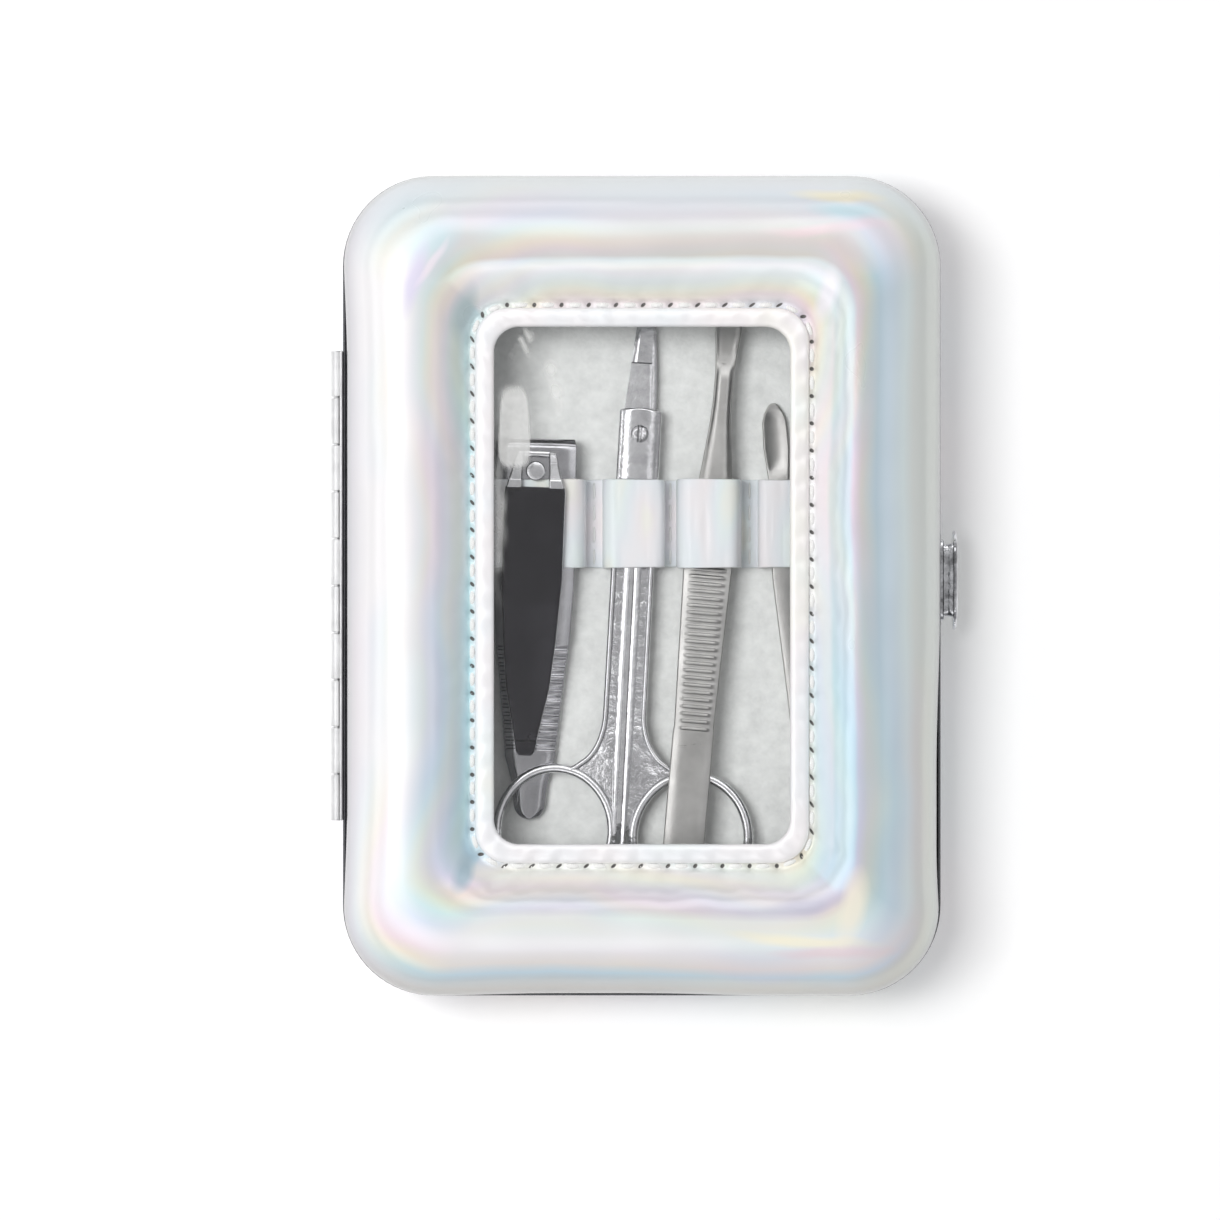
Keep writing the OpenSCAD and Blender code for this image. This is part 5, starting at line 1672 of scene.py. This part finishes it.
    def window(self) -> None:
        """Clear sheet: flat at its seam, bulging a little and crinkled in one corner, with values for painted glare.
        """
        low, high = box_mm("window_pane")
        rim = self.shape.half_w + low[0]
        inward = np.concatenate([[rim], np.linspace(rim + 1, self.shape.window_in, 20)])
        template = self.shape.template(self.shape.window_in, 360)
        top = shrinking(self.shape.rings(np.column_stack([inward, np.full(21, high[2])]), template), 90)
        bottom = top.copy()
        x, y = top[..., 0], top[..., 1]
        margin = np.minimum(self.shape.window_half_w - np.abs(x), self.shape.window_half_l - np.abs(y))
        inside = smooth(0.3, 4.5, margin)
        crinkle = np.exp(-(((x + 16.6) / 2.6) ** 2) - ((y - 33.6) / 2.2) ** 2)
        bulge = np.exp(-(((x + 17.5) / (2.1 - 0.05 * (y - 21.7))) ** 4) - ((y - 21.7) / 5.6) ** 4)
        streak = np.exp(-(((x + 12.0 + 0.18 * (y - 27)) / 1.2) ** 2) - ((y - 27.5) / 4.5) ** 2)
        relief = 0.22 * inside * ripple(x, y, 26.0, 51) + 0.1 * crinkle * ripple(x, y, 1.7, 52)
        relief += 0.35 * bulge + 0.1 * streak
        top[..., 2] += smooth(0.0, 0.9, margin) * relief
        bottom[..., 2] = top[..., 2] - (high[2] - low[2])
        fold = np.abs(ripple(x + 0.5 * y, 0.4 * y, 2.6, 52))
        ragged = -19.0 + 0.35 * ripple(x, y, 3.6, 54) + 0.9 * np.exp(-(((y - 9) / 5.0) ** 2))
        glint = smooth(0.0, 1.4, ragged - x) * smooth(-4, 3, y) * (1 - smooth(15, 18, y))
        # The glare values mark patches of painted glare that stand for reflections of the lamp.
        flare = np.maximum.reduce([
            0.55 * smooth(0.15, 0.7, crinkle * smooth(0.0, 0.5, 0.55 - fold)),
            0.6 * smooth(0.3, 0.5, bulge),
            0.4 * smooth(0.25, 0.9, streak * (0.8 + 0.3 * ripple(x, y, 4.4, 53))),
            0.3 * glint,
        ])
        values = {"glare": np.concatenate([0 * flare, flare])}
        surface = Surface.from_grid(np.concatenate([bottom[::-1], top]), values=values)
        self.shop.add("window_sheet", surface, Slot.CLEAR, Body.LID, ("window_pane",), 50)

    def build(self) -> None:
        """Builds the linings, the board, the strap, its stitches and the window."""
        self.linings()
        self.board()
        self.strap()
        self.strap_thread()
        self.window()


@dataclass(frozen=True)
class Tool:
    """What the tools have in common: their place on the board, their turn and their height."""

    shop: Workshop
    place: Pair = (0.0, 0.0)
    turn: float = 0.0
    lift: float = 0.0
    board_top: float = 7.0

    def put(self, surface: Surface, turn: float = 0.0) -> Surface:
        """Puts a piece, made round the tool's own origin, in its place on the board."""
        return surface.moved((*self.place, self.board_top + self.lift), self.turn + turn)


@dataclass(frozen=True)
class NailClipper(Tool):
    """Nail clipper: two arms, a pin with its head, a rivet and the thumb lever."""

    place: Pair = (-14.6, 15.8)
    turn: float = -1.2
    lever_turn: float = -1.0
    half: float = 5.6
    nose: float = 4.5
    tail: float = 48.2
    ridges: int = 13
    ridge_pitch: float = 1.14

    def arm_half(self, y: Array) -> Array:
        """Half width of the arms: straight, then tapering to a rounded tail.

        Args:
            y: Stations.

        Returns:
            Half widths.
        """
        at = np.array([-self.tail, -43.5, -39.5, -30, -24, -16, self.nose - 1, self.nose])
        half = np.array([2.0, 2.4, 3.5, self.half - 1.2, self.half - 0.5, self.half, self.half, self.half - 0.3])
        tail_round = np.sqrt(np.clip(1 - ((np.minimum(y + self.tail, 2.0) - 2.0) / 2.0) ** 2, 0, 1))
        return np.interp(y, at, half) * np.where(y < 2 - self.tail, np.maximum(tail_round, 0.05), 1)

    def stations(self) -> Array:
        """Stations along the arms, dense at the tail, the grip ridges and the jaws.

        Returns:
            Stations in Y.
        """
        tail = -self.tail + 2 * (1 - np.cos(np.linspace(0, np.pi / 2, 12)))
        return np.unique(np.concatenate([tail, np.linspace(
            2.2 - self.tail, -39, 14
        ), np.linspace(-38.9, -24, 180), np.linspace(-23.8, self.nose, 70)]))

    def lower_arm(self) -> None:
        """Lower arm: nearly flat, then turned up to its cutting edge at the jaws."""
        y = self.stations()
        top = np.interp(y, [-self.tail, -1, 1.6, self.nose], [1.0, 1.3, 1.55, 2.5])
        bottom = np.interp(y, [-self.tail, -1, 2, self.nose], [0.2, 0.5, 0.7, 2.2])
        arm = Bar(y, self.arm_half(y), bottom, top - 0.25, 0.2, crown=0.25, round_end=0.1, crown_power=4.0).surface()
        self.shop.add("clipper_lower_arm_shaped", self.put(arm), Slot.TOOL, Body.CLIPPER, (
            "clipper_lower_arm",
        ), 40, Special.CHROME)

    def upper_arm(self) -> None:
        """Upper arm: bowed up from the tail, with grip ridges and a turned-down jaw."""
        y = self.stations()
        flat = 9.0 - self.tail
        bottom = np.interp(y, [-self.tail, flat, -8, 0, 2.5, self.nose], [1.05, 1.1, 3.62, 3.9, 3.9, 3.7])
        top = np.interp(y, [-self.tail, flat, -8, 0, self.nose - 0.9, self.nose], [1.85, 1.9, 4.42, 4.7, 4.6, 3.95])
        phase = (-24.5 - y) / self.ridge_pitch
        on = (phase > -0.4) & (phase < self.ridges - 0.6)
        groove = np.exp(-(((phase + 0.5) % 1 - 0.5) * self.ridge_pitch / 0.26) ** 4) * on
        bar = Bar(
            y, self.arm_half(y) - 0.15 * groove, bottom, top - 0.3 - 0.3 * groove, 0.18, crown=0.3, round_end=0.1,
            crown_power=4.0,
        )
        self.shop.add("clipper_upper_arm_ridged", self.put(bar.surface()), Slot.TOOL, Body.CLIPPER_TOP, (
            "clipper_upper_arm",
        ), 30, Special.CHROME)

    def lever(self) -> None:
        """Lever: a saddle over the pin, a broad dished thumb face and a stepped tip."""
        y = np.unique(np.concatenate([
            np.linspace(-39.3, -36, 24), np.linspace(-36, -3, 90), np.linspace(-3, -2.2, 6)
        ]))
        at = [-39.3, -38.8, -36, -30, -24, -15, -3, -2.2]
        half = np.interp(y, at, [0.9, 1.3, 1.75, 3.0, 3.6, 4.2, 4.2, 4.1])
        top = np.interp(y, [-39.3, -37.4, -37.1, -18, -2.2], [5.1, 5.2, 5.45, 7.4, 7.4])
        bottom = np.interp(y, [-39.3, -19, -2.2], [4.4, 6.5, 6.5])
        dish = -0.12 * smooth(-36, -28, y) * (1 - smooth(-8, -4, y))
        blade = Bar(y, half, bottom, top, 0.22, crown=dish, round_end=0.15).surface()
        cheeks = []
        for side in (-1, 1):
            rise = np.linspace(-2.6, 2.8, 28)
            low = np.interp(rise, [-2.6, -0.6, 1.2, 2.8], [6.5, 6.4, 5.05, 4.95])
            high = np.interp(rise, [-2.6, -1.2, 1.2, 2.8], [7.4, 7.4, 6.1, 5.6])
            wide = np.interp(rise, [-2.6, 0, 2.8], [1.1, 0.75, 0.5])
            cheeks.append(Bar(rise, wide, low, high, 0.2, side * np.interp(
                rise, [-2.6, 0, 2.8], [3.0, 2.6, 2.2]
            )).surface())
        cross = Bar(np.array([2.0, 2.8]), 2.7, 4.97, 5.6, 0.2).surface()
        turn = self.lever_turn
        # The thumb face gets chrome painted near-black: a painted dark reflection.
        self.shop.add(
            "clipper_lever_dished", self.put(blade, turn), Slot.TOOL, Body.LEVER, ("clipper_lever",), 40,
            Special.DARK_REFLECTION,
        )
        self.shop.add("clipper_lever_saddle", self.put(joined([*cheeks, cross]), turn), Slot.TOOL, Body.LEVER)

    def pin(self) -> None:
        """Pin with its flange below, its domed head, and the rivet at the tail."""
        pin = turned([
            (1.55, 0.1), (1.7, 0.2), (1.65, 0.45), (1.0, 0.5), (1.0, 7.35), (1.25, 7.4), (1.35, 7.55), (1.2, 7.72),
            (0.7, 7.8),
        ])
        self.shop.add("clipper_pin_headed", self.put(pin), Slot.TOOL, Body.CLIPPER, ("clipper_pin",), 35)
        rivet = turned([(0.5, 0.2), (0.7, 0.3), (0.7, 1.75), (0.5, 1.85)]).moved(shift=(0, 2.3 - self.tail, 0))
        self.shop.add("clipper_rivet_domed", self.put(rivet), Slot.TOOL, Body.CLIPPER, ("clipper_rivet",), 35)

    def build(self) -> None:
        """Builds the clipper."""
        self.lower_arm()
        self.upper_arm()
        self.lever()
        self.pin()


def swept(path: Array, half: float, low: float, high: float, closed: bool = False) -> Surface:
    """Rounded bar whose oval section follows a flat path: centre + half cos across + rise sin up.

    Args:
        path: Points in X and Y.
        half: Half width of the section.
        low: Height of its underside.
        high: Height of its top.
        closed: Whether the path is a loop.

    Returns:
        The surface.
    """
    if closed:
        wrapped = np.pad(path, ((1, 1), (0, 0)), "wrap")
    else:
        wrapped = np.pad(path, ((1, 1), (0, 0)), "reflect", reflect_type="odd")
    ahead = wrapped[2:] - wrapped[:-2]
    ahead /= np.linalg.norm(ahead, axis=1)[:, None]
    right = np.column_stack([ahead[:, 1], -ahead[:, 0]])
    around = np.linspace(0, 2 * np.pi, 16, endpoint=False)
    wide = np.ones((len(path), 1)) * half * bent(np.cos(around), 0.8)
    rise = (high + low) / 2 + (high - low) / 2 * bent(np.sin(around), 0.8)
    rings = np.stack([
        path[:, :1] + right[:, :1] * wide,
        path[:, 1:] + right[:, 1:] * wide,
        np.broadcast_to(rise, wide.shape),
    ], -1)
    return Surface.from_grid(rings[:, ::-1], wrap_rows=closed)


@dataclass(frozen=True)
class Scissors(Tool):
    """Manicure scissors: two halves with raised rims, finger rings and a slotted screw."""

    place: Pair = (-0.27, 21.0)
    turn: float = -3.2
    opened: float = 0.3
    lift: float = 0.3
    shank_half: float = 2.95
    shank_t: float = 3.35
    blade_t: float = 1.575
    gap: float = 0.15
    reach: float = 55.5
    ring_a: float = 7.35
    ring_b: float = 8.1
    ring_out: float = 1.1
    wire: float = 1.3
    ring_t: float = 1.2
    web: float = 7.5
    blade_l: float = 27.3
    boss_tip: float = 3.6
    boss_end: float = 6.6
    rim: float = 0.42
    sunk: float = 0.4

    def ring_middle(self, out: float) -> float:
        """Distance of a finger ring's middle from the middle line."""
        return self.ring_a + 1.15 + 0.25 + out

    def web_curve(self, out: float) -> Array:
        """Concave edge from the ring up to the shank: a quarter of an ellipse that bends inwards.

        Args:
            out: How much further out the ring lies.

        Returns:
            Points in X and Y.
        """
        angle = np.radians(np.linspace(90, 0, 19))
        web_x = self.ring_middle(out) - 1.4
        web_y = -self.reach + self.ring_b + 1.15
        return np.column_stack([lerp(web_x, self.shank_half, np.cos(angle)), web_y + self.web * (1 - np.sin(angle))])

    def rims(self, out: float, start: float) -> list[Surface]:
        """Raised rims: outside of shank and web, the rib at the middle line, and the ring.

        Args:
            out: How much further out this half's ring lies.
            start: Distance below the pivot where they start.

        Returns:
            The rims' surfaces.
        """
        top, r = self.shank_t, self.rim
        curve = self.web_curve(out)
        inward = curve - np.column_stack([np.full(19, r), np.full(19, 0.15 * r)])
        inward[:4, 1] -= np.array([0.55, 0.4, 0.25, 0.1])
        shank = np.column_stack([np.full(24, self.shank_half - r), np.linspace(curve[-1, 1] + 0.6, -start, 24)])
        outer = swept(np.concatenate([inward, shank]), r, top - 1.1, top)
        rib_y = np.linspace(-self.reach - 1.5, -start, 12)
        flat = np.zeros(12)
        rib_out = self.gap + np.interp(rib_y, [-self.reach, -44, -start], [0.75, 1.1, 1.1])
        rib = self.blade(rib_y, flat + self.gap, flat + self.gap + 0.45, rib_out, top - self.blade_t, (
            flat + 0.13, flat, flat + 0.22
        ))
        turn = np.linspace(0, 2 * np.pi, 120, endpoint=False)
        wire = self.wire / 2
        middle_x = self.ring_middle(out)
        loop = np.column_stack([
            (self.ring_a + wire - 0.05) * np.cos(turn) + middle_x,
            (self.ring_b + wire - 0.05) * np.sin(turn) - self.reach,
        ])
        ring = swept(loop, wire, top - self.ring_t, top, True)
        return [outer, rib, ring]

    def fields(self, out: float, start: float) -> list[Surface]:
        """Sunken fields of the shank and of the web between the rims.

        Args:
            out: How much further out the ring lies.
            start: Distance below the pivot where they start.

        Returns:
            Shank and web.
        """
        top, field = self.shank_t, self.shank_t - self.sunk
        curve = self.web_curve(out)
        side, end = self.shank_half - 0.1, curve[-1, 1]
        shank = np.array([(self.gap, -start), (self.gap, end - 0.5), (side, end - 0.5), (side, -start)])
        middle_x = self.ring_middle(out)
        angle = np.radians(np.linspace(75, 172, 22))
        hollow = np.column_stack([
            middle_x + (self.ring_a + 0.5) * np.cos(angle),
            -self.reach + (self.ring_b + 0.5) * np.sin(angle),
        ])
        web = np.concatenate([
            [(self.gap, end + 0.3), (self.gap, -self.reach)],
            hollow[::-1], curve[:1] - [0.2, 0.4], curve[1:] - [0.15, 0.1],
            [(side, end + 0.3)],
        ])
        return [plate([shank], 0.0, field, 0.2), plate([web], top - self.ring_t + 0.1, field - 0.04, 0.1)]

    def upper_boss(self) -> Surface:
        """Boss of the upper half: a bar across both shanks with an arched end and a crowned top.

        Returns:
            The closed surface.
        """
        y = np.concatenate([np.linspace(
            -self.boss_end, self.boss_tip - 0.55, 30
        ), self.boss_tip - 0.55 * (1 - np.sin(np.linspace(0.1, np.pi / 2, 10)))])
        fall = np.clip((y - self.boss_tip + 0.55) / 0.55, 0, 1)
        half = (self.shank_half - 0.02) * np.sqrt(1 - 0.75 * fall ** 2)
        return Bar(
            y, half, self.shank_t - self.blade_t, self.shank_t - 0.25, 0.35, 0.0, 0.39, 0, 0.22, crown_power=3.0
        ).surface()

    def blade(self, y: Array, left: Array, ridge: Array, right: Array, low: float, drops: tuple[
        Array, Array, Array
    ]) -> Surface:
        """Blade whose top is two slanting faces that meet at a ridge.

        Args:
            y: Stations from the pivot to the tip.
            left: Left edge at each station.
            ridge: Place of the ridge.
            right: Right edge.
            low: Height of its underside.
            drops: How far the left edge, the ridge and the right edge lie below its full height.

        Returns:
            The closed surface.
        """
        left_top, ridge_top, right_top = (low + self.blade_t - drop for drop in drops)
        across = [right - 0.1, left + 0.1, left, left + 0.04, ridge - 0.03, ridge + 0.03, right - 0.04, right]
        rise = [low, low, low + 0.15, left_top, ridge_top, ridge_top, right_top, low + 0.15]
        rings = np.stack([np.stack([x, y, z + 0 * y], -1) for x, z in zip(across, rise)], 1)
        return Surface.from_grid(rings[:, ::-1])

    def upper_blade(self) -> Surface:
        """Upper blade: broad and nearly level up to a step, then ground to a bright and a grey face.

        Returns:
            The closed surface.
        """
        y = np.array([0, 4, 9.7, 9.9, 10.1, 14, 18, 22, self.blade_l - 0.4, self.blade_l])
        left = np.interp(y, [0, 4, 9.9, 14.5, 22, self.blade_l], [-2.45, -2.25, -1.7, -1.25, -0.8, -0.2])
        right = np.interp(y, [0, 9.9, 22, self.blade_l], [1.55, 1.2, 0.9, 0.25])
        ground = (y > 9.8).astype(float)
        ridge = lerp(right - 0.4, np.interp(y, [10, self.blade_l], [-0.9, 0.3]), ground)
        ridge = np.clip(ridge, left + 0.1, right - 0.1)
        drops = (lerp(0.28, 0.62, ground), lerp(0.02, 0.3, ground), lerp(0.1, 0.5, ground))
        return self.blade(y, left, ridge, right, self.shank_t - self.blade_t, drops)

    def lower_blade(self) -> Surface:
        """Lower blade: narrower on the left and a strip wider on the right.

        Returns:
            The closed surface.
        """
        y = np.array([0, 4, 8, 14, 18, 22, self.blade_l - 0.4, self.blade_l])
        left = np.interp(y, [0, 8, 18, self.blade_l], [-2.1, -1.5, -1.0, -0.3])
        right = np.interp(y, [0, 8, 16, self.blade_l], [2.25, 2.1, 1.5, 0.3])
        flat = np.full(len(y), 0.05)
        return self.blade(y, left, right - 0.7, right, 0.0, (flat, flat, flat + 0.25))

    def build(self) -> None:
        """Builds both halves, their sunken fields and the screw."""
        start = self.boss_end + 0.4
        lower = [
            plate([oval(self.shank_half, self.shank_half, power=3)], 0.0, self.blade_t - 0.02, 0.3),
            plate([np.array([(self.gap, -start - 0.5), (
                self.shank_half, -start - 0.5
            ), (self.shank_half, -1), (self.gap, -1)])], 0.0, self.blade_t - 0.02, 0.2),
            self.lower_blade(), *self.rims(self.ring_out, start),
        ]
        part_y = np.linspace(-self.reach - 1.3, -self.boss_end, 12)
        part_out = 0.12 - np.radians(self.opened) * part_y
        parting = Bar(part_y, part_out / 2 + 0.1, 1.5, self.shank_t - 0.16, 0.04, 0.1 - part_out / 2).surface()
        upper = [*self.rims(0.0, self.boss_end - 0.5), parting]
        put = self.put
        self.shop.add("scissor_lower_rims", put(
            joined(lower), self.opened
        ), Slot.TOOL, Body.SCISSORS, ("scissor_lower_half",), 35, Special.CAST)
        fields = joined(self.fields(self.ring_out, start))
        self.shop.add("scissor_lower_fields", put(
            fields, self.opened
        ), Slot.TOOL, Body.SCISSORS, (), 35, Special.PITTED)
        surface = joined([part.mirrored() for part in upper] + [self.upper_blade(), self.upper_boss()])
        self.shop.add("scissor_upper_rims", put(surface), Slot.TOOL, Body.SCISSORS_TOP, (
            "scissor_upper_half",
        ), 35, Special.CAST)
        fields = joined(self.fields(0.0, self.boss_end - 0.5)).mirrored()
        self.shop.add("scissor_upper_fields", put(fields), Slot.TOOL, Body.SCISSORS_TOP, (), 35, Special.PITTED)
        top = self.shank_t
        shaft = turned([
            (0.8, -0.05), (0.8, top + 0.05), (1.1, top + 0.07), (1.24, top + 0.16), (1.2, top + 0.32),
            (1.0, top + 0.46), (0.6, top + 0.54), (0.2, top + 0.56),
        ])
        cut = np.exp(-((shaft.points[:, 0] / 0.22) ** 4)) * (shaft.points[:, 2] > top + 0.25)
        shaft.points[:, 2] -= 0.25 * cut
        self.shop.add(
            "scissor_screw_domed", put(shaft), Slot.TOOL, Body.SCISSORS, ("scissor_screw",), 35, Special.PITTED
        )


@dataclass(frozen=True)
class Tweezers(Tool):
    """Tweezers: two leaves joined at their closed end, the upper one ribbed for grip."""

    place: Pair = (5.07, -44.0)
    turn: float = -5.0
    pitch: float = -2.4
    length: float = 84.0
    half: float = 2.85
    grip: float = 3.4
    leaf_t: float = 0.7
    rib_from: float = 23.6
    rib_count: int = 23
    rib_pitch: float = 1.0
    rib_h: float = 0.18
    ring_top: float = 3.75

    def put(self, surface: Surface) -> Surface:
        """Puts a leaf, made from its closed end, on the finger ring and the board."""
        lift = self.ring_top + 0.3 + 18 * np.sin(np.radians(-self.pitch))
        return surface.moved((*self.place, self.board_top + lift), self.turn, self.pitch)

    def plan(self, y: Array) -> Array:
        """Half width from the closed end over the ribs, down to the neck and out to the spade tip.

        Args:
            y: Stations.

        Returns:
            Half widths.
        """
        at = np.array([
            0, 0.3, 0.9, self.rib_from, self.rib_from + 1, 47.5, 53, 57, 60, 64, 67, 70, 73.8, 77.2, 79.3, 82,
            self.length,
        ])
        g, h = self.grip, self.half
        half = np.array([
            h - 0.7, h - 0.25, h, h, h - 0.1, g, g - 0.25, 2.55, 2.16, 1.75, 1.45, 1.3, 1.3, 1.58, 1.8, 1.8, 1.2
        ])
        return np.interp(y, at, half)

    def build(self) -> None:
        """Builds both leaves; ribs are rounded steps of the upper leaf's top."""
        y = np.unique(np.concatenate([
            np.linspace(0, self.rib_from - 0.5, 40),
            np.linspace(self.rib_from - 0.4, self.rib_from + self.rib_count + 0.4, 340),
            np.linspace(self.rib_from + self.rib_count + 0.6, self.length, 90),
        ]))
        half = self.plan(y)
        thin = np.interp(y, [0, 60, self.length], [self.leaf_t, self.leaf_t, 0.7 * self.leaf_t])
        lower = Bar(y, half, 0.0 * y, thin, 0.15, round_end=0.12).surface()
        self.shop.add("tweezer_lower_leaf_satin", self.put(lower), Slot.SATIN, Body.TWEEZERS, ("tweezer_lower_leaf",))
        bow = self.leaf_t + 0.05 + np.interp(y, [0, 8, 30, self.length], [0, 0, 0.75, 1.55])
        phase = (y - self.rib_from) / self.rib_pitch
        on = (phase > 0.3) & (phase < self.rib_count + 0.1)
        rib = np.exp(-(((phase - 0.7 + 0.5) % 1 - 0.5) / 0.24) ** 4) * on
        neck = smooth(50, 60, y) * (1 - smooth(72.5, 76, y))
        crown = 0.22 + 0.2 * neck - 0.42 * smooth(73, 77, y)
        bar = Bar(
            y, half, bow, bow + thin - 0.22 + 0.1 * smooth(73, 77, y), 0.2, 0.0, crown, self.rib_h * rib, 0.12, 0.76,
            4.0,
        )
        upper = bar.surface()
        self.shop.add("tweezer_upper_leaf_ribbed", self.put(upper), Slot.SATIN, Body.TWEEZERS_TOP, (
            "tweezer_upper_leaf",
        ), 30)


@dataclass(frozen=True)
class CuticlePusher(Tool):
    """Cuticle pusher: a dished spoon head on a slim handle that widens and tapers again."""

    place: Pair = (18.2, 25.3)
    turn: float = 4.5
    length: float = 70.0
    lift: float = 0.3

    def build(self) -> None:
        """Builds the pusher from its tip towards its thin end."""
        y = np.unique(np.concatenate([np.linspace(
            -self.length, -13, 120
        ), np.linspace(-13, -2.6, 50), -2.6 * (1 - np.sin(np.linspace(0, np.pi / 2, 24)))]))
        at = [-self.length, -60, -41, -24, -19, -12.5, -9.5, -6, -2.6, -1.4, -0.6, -0.2, 0]
        half = np.interp(y, at, [0.3, 0.7, 1.2, 2.0, 1.85, 1.3, 1.55, 1.8, 1.7, 1.35, 0.9, 0.6, 0.3])
        top = np.interp(y, [-self.length, -40, -13, -9, 0], [0.6, 1.2, 1.2, 0.78, 0.56])
        low = np.interp(y, [-self.length, -4, 0], [0.0, 0.0, 0.2])
        dish = -0.3 * smooth(-10.5, -7.5, y) * (1 - smooth(-2.2, -0.6, y)) + 0.12 * (1 - smooth(-14, -11, y))
        bar = Bar(y, half, low, top, 0.22, crown=dish, round_end=0.1).surface()
        self.shop.add("cuticle_pusher_dished", self.put(bar), Slot.SATIN, Body.PUSHER, ("cuticle_pusher",))


@dataclass(frozen=True)
class Studio:
    """Pale floor, soft lamps and the camera straight above the case."""

    view_mm: float = 167.12
    aim: Pair = (-4.38, -3.36)
    camera_height: float = 1.0
    subject_height: float = 0.02
    lamp_place: tuple[float, float, float] = (-0.42, 0.11, 1.2)
    lamp_size: Pair = (0.38, 0.55)
    lamp_watts: float = 10.0

    def floor(self) -> None:
        """Floor a hair below the case, white where the lamps reach it and grey in the shadow."""
        mesh = bpy.data.meshes.new("studio_floor")
        size, drop, glow = 3.0, -0.0002, 0.16
        corners = [(-size, -size, drop), (size, -size, drop), (size, size, drop), (-size, size, drop)]
        mesh.from_pydata(corners, [], [(0, 1, 2, 3)])
        floor = bpy.data.objects.new("studio_floor", mesh)
        bpy.context.scene.collection.objects.link(floor)
        material, work, shader, place = Finish("studio_floor", (0.86, 0.86, 0.86), 0.9).start()
        work.fill(shader, {
            "Base Color": work.mix(work.noise(place, 400), (0.86, 0.86, 0.86), (0.88, 0.88, 0.88)),
            "Specular IOR Level": 0.1,
            "Emission Color": (1.0, 1.0, 1.0),
            "Emission Strength": work.times(work.seen_by("Camera", "Glossy", "Transmission"), glow),
        })
        mesh.materials.append(material)

    def world(self) -> None:
        """Soft light all round; metal and glass see a bright room with a dark ceiling over the case."""
        world = bpy.data.worlds.new("studio")
        bpy.context.scene.world = world
        world.use_nodes = True
        work = Tree(world.node_tree)
        sky = work.add("TexCoord").outputs["Generated"]
        way = work.add("SeparateXYZ", {0: sky})
        rings = [
            (0.0, 0.95), (0.28, 0.95), (0.34, 0.25), (0.5, 0.3), (0.56, 1.7), (0.66, 1.6), (0.72, 0.25), (0.8, 0.35),
            (0.85, 2.6), (0.94, 2.5), (0.972, 0.55), (1.0, 0.46),
        ]
        room = work.ramp(way.outputs[2], [(place, (v, v, 1.01 * v)) for place, v in rings])
        patch = work.noise(sky, 2.2, 3, 0.6)
        room = work.mix(work.span(patch, 0.42, 0.6, 0.0, 0.3), room, (0.35, 0.35, 0.36))
        slant = work.math("SUBTRACT", work.times(way.outputs[1], 0.7), way.outputs[0])
        room = work.mix(work.span(slant, -0.6, 0.1), (0.3, 0.3, 0.31), room)
        colour = work.mix(work.seen_by("Glossy", "Transmission"), (0.47, 0.47, 0.475), room)
        colour = work.mix(work.seen_by("Camera"), colour, (1.0, 1.0, 1.0))
        work.fill(world.node_tree.nodes["Background"], {"Color": colour})

    def lamp(self) -> None:
        """Soft lamp that leans towards the case from the hinge side."""
        data = bpy.data.lights.new("key_lamp", "AREA")
        data.shape, data.energy = "RECTANGLE", self.lamp_watts
        data.size, data.size_y = self.lamp_size
        lamp = bpy.data.objects.new("key_lamp", data)
        x, y, z = lamp.location = self.lamp_place
        lamp.rotation_euler = (np.arctan2(np.hypot(x, y), z), 0.0, np.arctan2(y, x) + np.pi / 2)
        lamp.visible_glossy = lamp.visible_transmission = False
        bpy.context.scene.collection.objects.link(lamp)

    def camera(self) -> None:
        """Camera above the case whose view is as wide as the photograph's."""
        data = bpy.data.cameras.new("top_camera")
        data.sensor_fit, data.sensor_width = "HORIZONTAL", 36.0
        data.lens = data.sensor_width * (self.camera_height - self.subject_height) / (self.view_mm * MM)
        camera = bpy.data.objects.new("top_camera", data)
        camera.location = (self.aim[0] * MM, self.aim[1] * MM, self.camera_height)
        bpy.context.scene.collection.objects.link(camera)
        bpy.context.scene.camera = camera

    def build(self) -> None:
        """Builds the floor, the light and the camera."""
        bpy.context.scene.view_settings.view_transform = "Standard"
        self.floor()
        self.world()
        self.lamp()
        self.camera()


def main() -> None:
    """Builds the case, its tools and the studio, and reports each piece."""
    logging.basicConfig(level=logging.INFO, format="%(name)s %(message)s")
    shape = Shape(*box_mm("lid_frame")[1][:2])
    LOG.info("case %.1f by %.1f mm", 2 * shape.half_w, 2 * shape.half_l)
    shop = Workshop()
    shop.dress_nodes()
    for group in (Padding, Metalwork, Interior):
        group(shop, shape).build()
    for tool in (NailClipper, Scissors, Tweezers, CuticlePusher):
        tool(shop).build()
    Studio().build()


if __name__ == "__main__":
    main()
